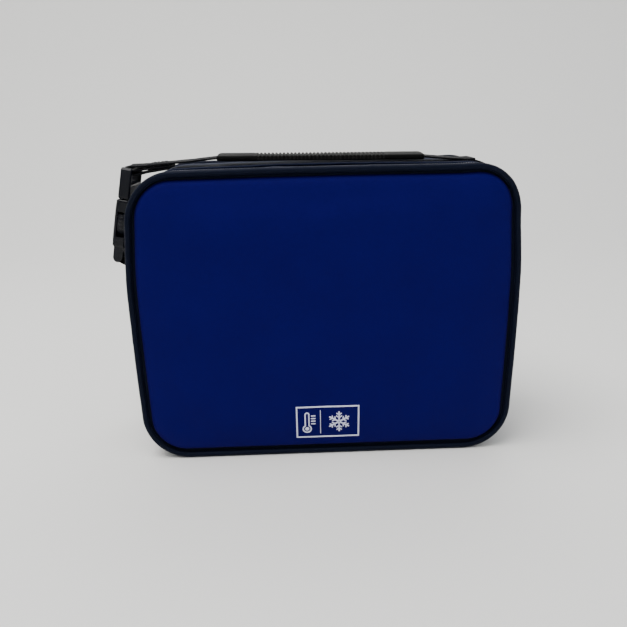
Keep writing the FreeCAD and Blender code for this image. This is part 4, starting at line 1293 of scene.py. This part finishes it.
def build_buckle_tab():
    """Two layers sewn to the left side that part round the socket's bar."""
    low = corners("buckle_tab")[0][2]
    side = bow(np.array([-HALF, 0, TAB_MIDDLE]))[0] - WEB / 2 - 0.15
    direction = SOCKET_BAR - np.array([side, TAB_BEND])
    direction /= np.linalg.norm(direction)
    across = np.array([-direction[1], direction[0]])
    angle = math.degrees(math.atan2(direction[1], direction[0]))
    outer_start, inner_end = SOCKET_BAR + across * LOOP_MIDDLE, SOCKET_BAR - across * LOOP_MIDDLE
    outer = rounded_path([(side - WEB, low + 0.4, 0), (side - WEB, TAB_BEND + 0.5, 5),
                          (*(outer_start - direction * 6 - across * 0.5), 8), (*outer_start, 0)], 0.8)
    loop = arc_path(SOCKET_BAR, LOOP_MIDDLE, angle + 90, angle - 90, 26)
    inner = rounded_path([(*inner_end, 0), (*(inner_end - direction * 6 + across * 0.5), 8),
                          (side, TAB_BEND - 1.5, 5), (side, low + 0.4, 0)], 0.8)
    build_webbing("socket_tab", np.concatenate([outer, loop[1:], inner[1:]]), 5.0, "buckle_tab", body="bag")
    middle = (side - WEB, (low + TAB_BEND) / 2 - 1)
    box_stitches("socket_tab_thread", "bag", middle, (0, 1), (-1, 0), 7.4, WEB / 2 + 0.1)


strap_path = build_strap()
build_strap_end()
build_loop_stitches(strap_path)
build_buckle_tab()


# ---------------------------------------------------------------- grip
RIB_PITCH, RIBS, RIB_DEPTH = 2.65, 33, 1.15
END_ROUND = 1.6                   # rounding of the grip's two ends


def grip_stations():
    """Places along the grip, how deep its grooves are there, its border step and its rounded ends."""
    ribbed, square = RIB_PITCH * RIBS / 2, GRIP_END - END_ROUND
    fine = np.arange(-ribbed, ribbed + 0.01, RIB_PITCH / 8)
    plain = np.concatenate([np.linspace(ribbed + 0.8, square, 14),
                            square + END_ROUND * np.sin(np.radians([15, 30, 50, 70, 90]))])
    xs = np.concatenate([-plain[::-1], fine, plain])
    reach = np.abs(xs)
    groove = RIB_DEPTH * (0.5 - 0.5 * np.cos(2 * np.pi * (xs + ribbed) / RIB_PITCH)) ** 2
    border = np.clip((ribbed + 2.2 - reach) / 1.4, 0, 1) * (reach > ribbed)
    rounding = 1 - np.sqrt(np.clip(1 - (np.maximum(reach - square, 0) / END_ROUND) ** 2, 0, 1))
    return xs, np.where(reach <= ribbed, groove, 0.0), border, rounding


def build_grip():
    """Moulded rubber round the strap: rounded ribs across its top and edges between two plain ends."""
    xs, groove, border, rounding = (values[:, None] for values in grip_stations())
    half_width, half_thick = GRIP_HIGH[1], (GRIP_HIGH[2] - GRIP_LOW[2]) / 2
    roundness = 2 / 2.6
    angle = np.linspace(0, 2 * math.pi, 72, endpoint=False)
    cos, sin = np.cos(angle), np.sin(angle)
    corner = half_thick * 0.95
    straight = np.sign(cos) * (half_width - corner) * np.clip(np.abs(cos) * 1.25, 0, 1)
    ring_y = straight + corner * np.sign(cos) * np.abs(cos) ** roundness
    ring_z = half_thick * np.sign(sin) * np.abs(sin) ** roundness
    ring_z += 0.35 * (1 - (ring_y / half_width) ** 2) * (sin > 0)
    shrink = (groove + 0.25 * border) * np.clip((sin + 0.35) / 0.5, 0, 1)
    points = np.zeros((len(xs), len(angle), 3))
    points[..., 0] = xs
    points[..., 1] = ring_y * (1 - (shrink + rounding * 1.3) / half_width)
    points[..., 2] = ring_z * (1 - (shrink + rounding * 1.2) / (half_thick + 0.35))
    points[..., 2] += GRIP_MIDDLE + handle_rise(xs)
    uvs = np.stack(crossed(xs[:, 0], angle * 6), -1)
    grip = new_object("rubber_grip", points, flipped(tube_faces(len(xs), len(angle))), uvs)
    dress(sharpen(grip, 55), RUBBER, "grip_rubber", "handle_grip", body="handle")


build_grip()


# ---------------------------------------------------------------- buckle
def buckle_frame(node):
    """A buckle piece's corner points as distances down it, outwards and along Y."""
    obj = bpy.data.objects[node]
    points = np.array([obj.matrix_world @ v.co for v in obj.data.vertices]) / MM
    flat = points[:, [0, 2]] - PLUG_BAR
    return flat @ BUCKLE_DOWN, flat @ BUCKLE_OUT, points[:, 1]


def buckle_point(down, out, y):
    """Points from distances down the buckle, outwards and along Y."""
    down, out, y = np.broadcast_arrays(down, out, y)
    flat = PLUG_BAR + down[..., None] * BUCKLE_DOWN + out[..., None] * BUCKLE_OUT
    return np.stack([flat[..., 0], y, flat[..., 1]], -1)


def crowned_face(name, node, body, start, end, height):
    """A shallow crown moulded on the outer face, with a waist and a rounded step round it."""
    _, out, y = buckle_frame(node)
    half = y.max() - 0.8
    u, v = crossed(np.linspace(-1, 1, 44), np.linspace(-1, 1, 44))
    edge = np.maximum(np.abs(u) ** 8 + np.abs(v) ** 8, 1e-9)
    lift = np.clip(1 - edge, 0, 1) ** 0.4 * (0.55 + 0.45 * (1 - v ** 2) * (1 - 0.5 * u ** 2))
    along = (start + end) / 2 + u * (end - start) / 2
    points = buckle_point(along, out.max() - 0.08 + height * lift, v * half)
    crown = new_object(name, points, grid_faces(*u.shape), np.stack([along, v * half], -1))
    dress(crown, BUCKLE, "buckle", body=body)


FINGER_RIBS = (31.0, 33.6, 36.2, 38.8)    # distances of the arms' ribs down the buckle


def arm_ribs(name, node, side):
    """Finger ribs on the outer side of a spring arm, which is a body of its own."""
    obj = bpy.data.objects[node]
    points = [tuple((obj.matrix_world @ v.co) / MM) for v in obj.data.vertices]
    tree = BVHTree.FromPolygons(points, [tuple(p.vertices) for p in obj.data.polygons])
    out = buckle_frame(node)[1]
    half = (out.max() - out.min()) / 2 - 0.7
    outs = (out.min() + out.max()) / 2 + np.linspace(-half, half, 7)
    parts = []
    for down in FINGER_RIBS:
        spots = buckle_point(down, outs, side * 40.0)
        hits = [tree.ray_cast(Vector(spot), Vector((0, -side, 0)))[0] for spot in spots]
        line = [(spot[0], hit.y, spot[2]) for spot, hit in zip(spots, hits) if hit is not None]
        if len(line) > 3:
            parts.append(tube(line, [0.2] + [0.45] * (len(line) - 2) + [0.2], 8))
    dress(new_object(name, *joined(parts)), BUCKLE, "buckle", body=node)


for buckle_node in ("buckle_socket", "buckle_plug", "buckle_arm_front", "buckle_arm_rear"):
    soften_edges(buckle_node, BUCKLE, 0.6)
crowned_face("socket_crown", "buckle_socket", "bag", 19.6, 51.0, 1.3)
crowned_face("plug_crown", "buckle_plug", "buckle_plug", 9.4, 17.4, 0.8)
arm_ribs("front_arm_ribs", "buckle_arm_front", -1)
arm_ribs("rear_arm_ribs", "buckle_arm_rear", 1)


# ---------------------------------------------------------------- floor, light and camera
def build_studio():
    """A pale floor that sweeps up into one wall all round, nearest behind the object."""
    back, reach, bend, rise = 1290.0, 3000.0, 590.0, 520.0
    angle = np.linspace(0, 2 * math.pi, 160, endpoint=False)
    turn = np.radians(np.linspace(0, 90, 25))
    inset = np.concatenate([[reach, bend + 200], bend * (1 - np.sin(turn)), [0.0]])
    height = np.concatenate([[0.0, 0.0], rise * (1 - np.cos(turn)), [2000.0]])
    across, along = reach, (reach + back) / 2
    points = np.zeros((len(inset), len(angle), 3))
    points[..., 0] = np.cos(angle) * np.maximum(across - inset, 1.0)[:, None]
    points[..., 1] = back - along + np.sin(angle) * np.maximum(along - inset, 1.0)[:, None]
    points[..., 2] = height[:, None]
    faces = flipped(grid_faces(len(inset), len(angle), closed_columns=True))
    obj = new_object("floor", points, faces + [tuple(range(len(angle)))])
    material, _, shader = node_material("pale_floor")
    shader.inputs["Base Color"].default_value = (0.80, 0.80, 0.785, 1)
    shader.inputs["Roughness"].default_value = 0.85
    obj.data.materials.append(material)


def area_light(name, place_m, target_m, size_m, power, colour=(1, 1, 1)):
    """A soft lamp at a place, turned to a target; both and its size are in metres, its power in watts."""
    data = bpy.data.lights.new(name, "AREA")
    data.shape = "RECTANGLE"
    data.size, data.size_y = size_m
    data.energy = power
    data.color = colour
    obj = bpy.data.objects.new(name, data)
    bpy.context.scene.collection.objects.link(obj)
    obj.location = place_m
    direction = Vector(target_m) - Vector(place_m)
    obj.rotation_euler = direction.to_track_quat("-Z", "Y").to_euler()


CAMERA_PLACE = (-19.7, -471.5, 235.7)    # millimetres; the angles below are in degrees
CAMERA_YAW = -1.53
CAMERA_DOWN = 16.92
CAMERA_ROLL = -1.27
SENSOR_MM = 36
LENS_MM = SENSOR_MM * 660 / 627          # the focal length is a little more than the image's width


def build_camera():
    yaw, down, roll = (math.radians(a) for a in (CAMERA_YAW, CAMERA_DOWN, CAMERA_ROLL))
    ahead = Vector((-math.sin(yaw) * math.cos(down), math.cos(yaw) * math.cos(down), -math.sin(down)))
    right = Vector((math.cos(yaw), math.sin(yaw), 0))
    up = right.cross(ahead)
    turned_right = right * math.cos(roll) + up * math.sin(roll)
    turned_up = up * math.cos(roll) - right * math.sin(roll)
    data = bpy.data.cameras.new("camera")
    data.lens = LENS_MM
    data.sensor_width = SENSOR_MM
    data.dof.use_dof = False
    data.clip_start, data.clip_end = 0.01, 20
    obj = bpy.data.objects.new("camera", data)
    bpy.context.scene.collection.objects.link(obj)
    basis = Matrix((turned_right, turned_up, -ahead)).transposed().to_4x4()
    obj.matrix_world = Matrix.Translation(Vector(CAMERA_PLACE) * MM) @ basis
    bpy.context.scene.camera = obj


def build_world():
    world = bpy.data.worlds.new("studio")
    world.use_nodes = True
    world.node_tree.nodes["Background"].inputs[0].default_value = (0.84, 0.86, 0.90, 1)
    world.node_tree.nodes["Background"].inputs[1].default_value = 0.68
    bpy.context.scene.world = world


build_studio()
area_light("key", (-0.45, -0.35, 1.5), (0, 0, 0.1), (1.2, 0.9), 31, (1, 0.98, 0.95))
area_light("fill", (1.4, -1.0, 0.9), (0, 0, 0.1), (1.0, 1.0), 4, (0.92, 0.95, 1))
area_light("back", (0.2, 1.0, 1.6), (0, 0.1, 0.2), (1.6, 0.6), 9)
build_world()
build_camera()
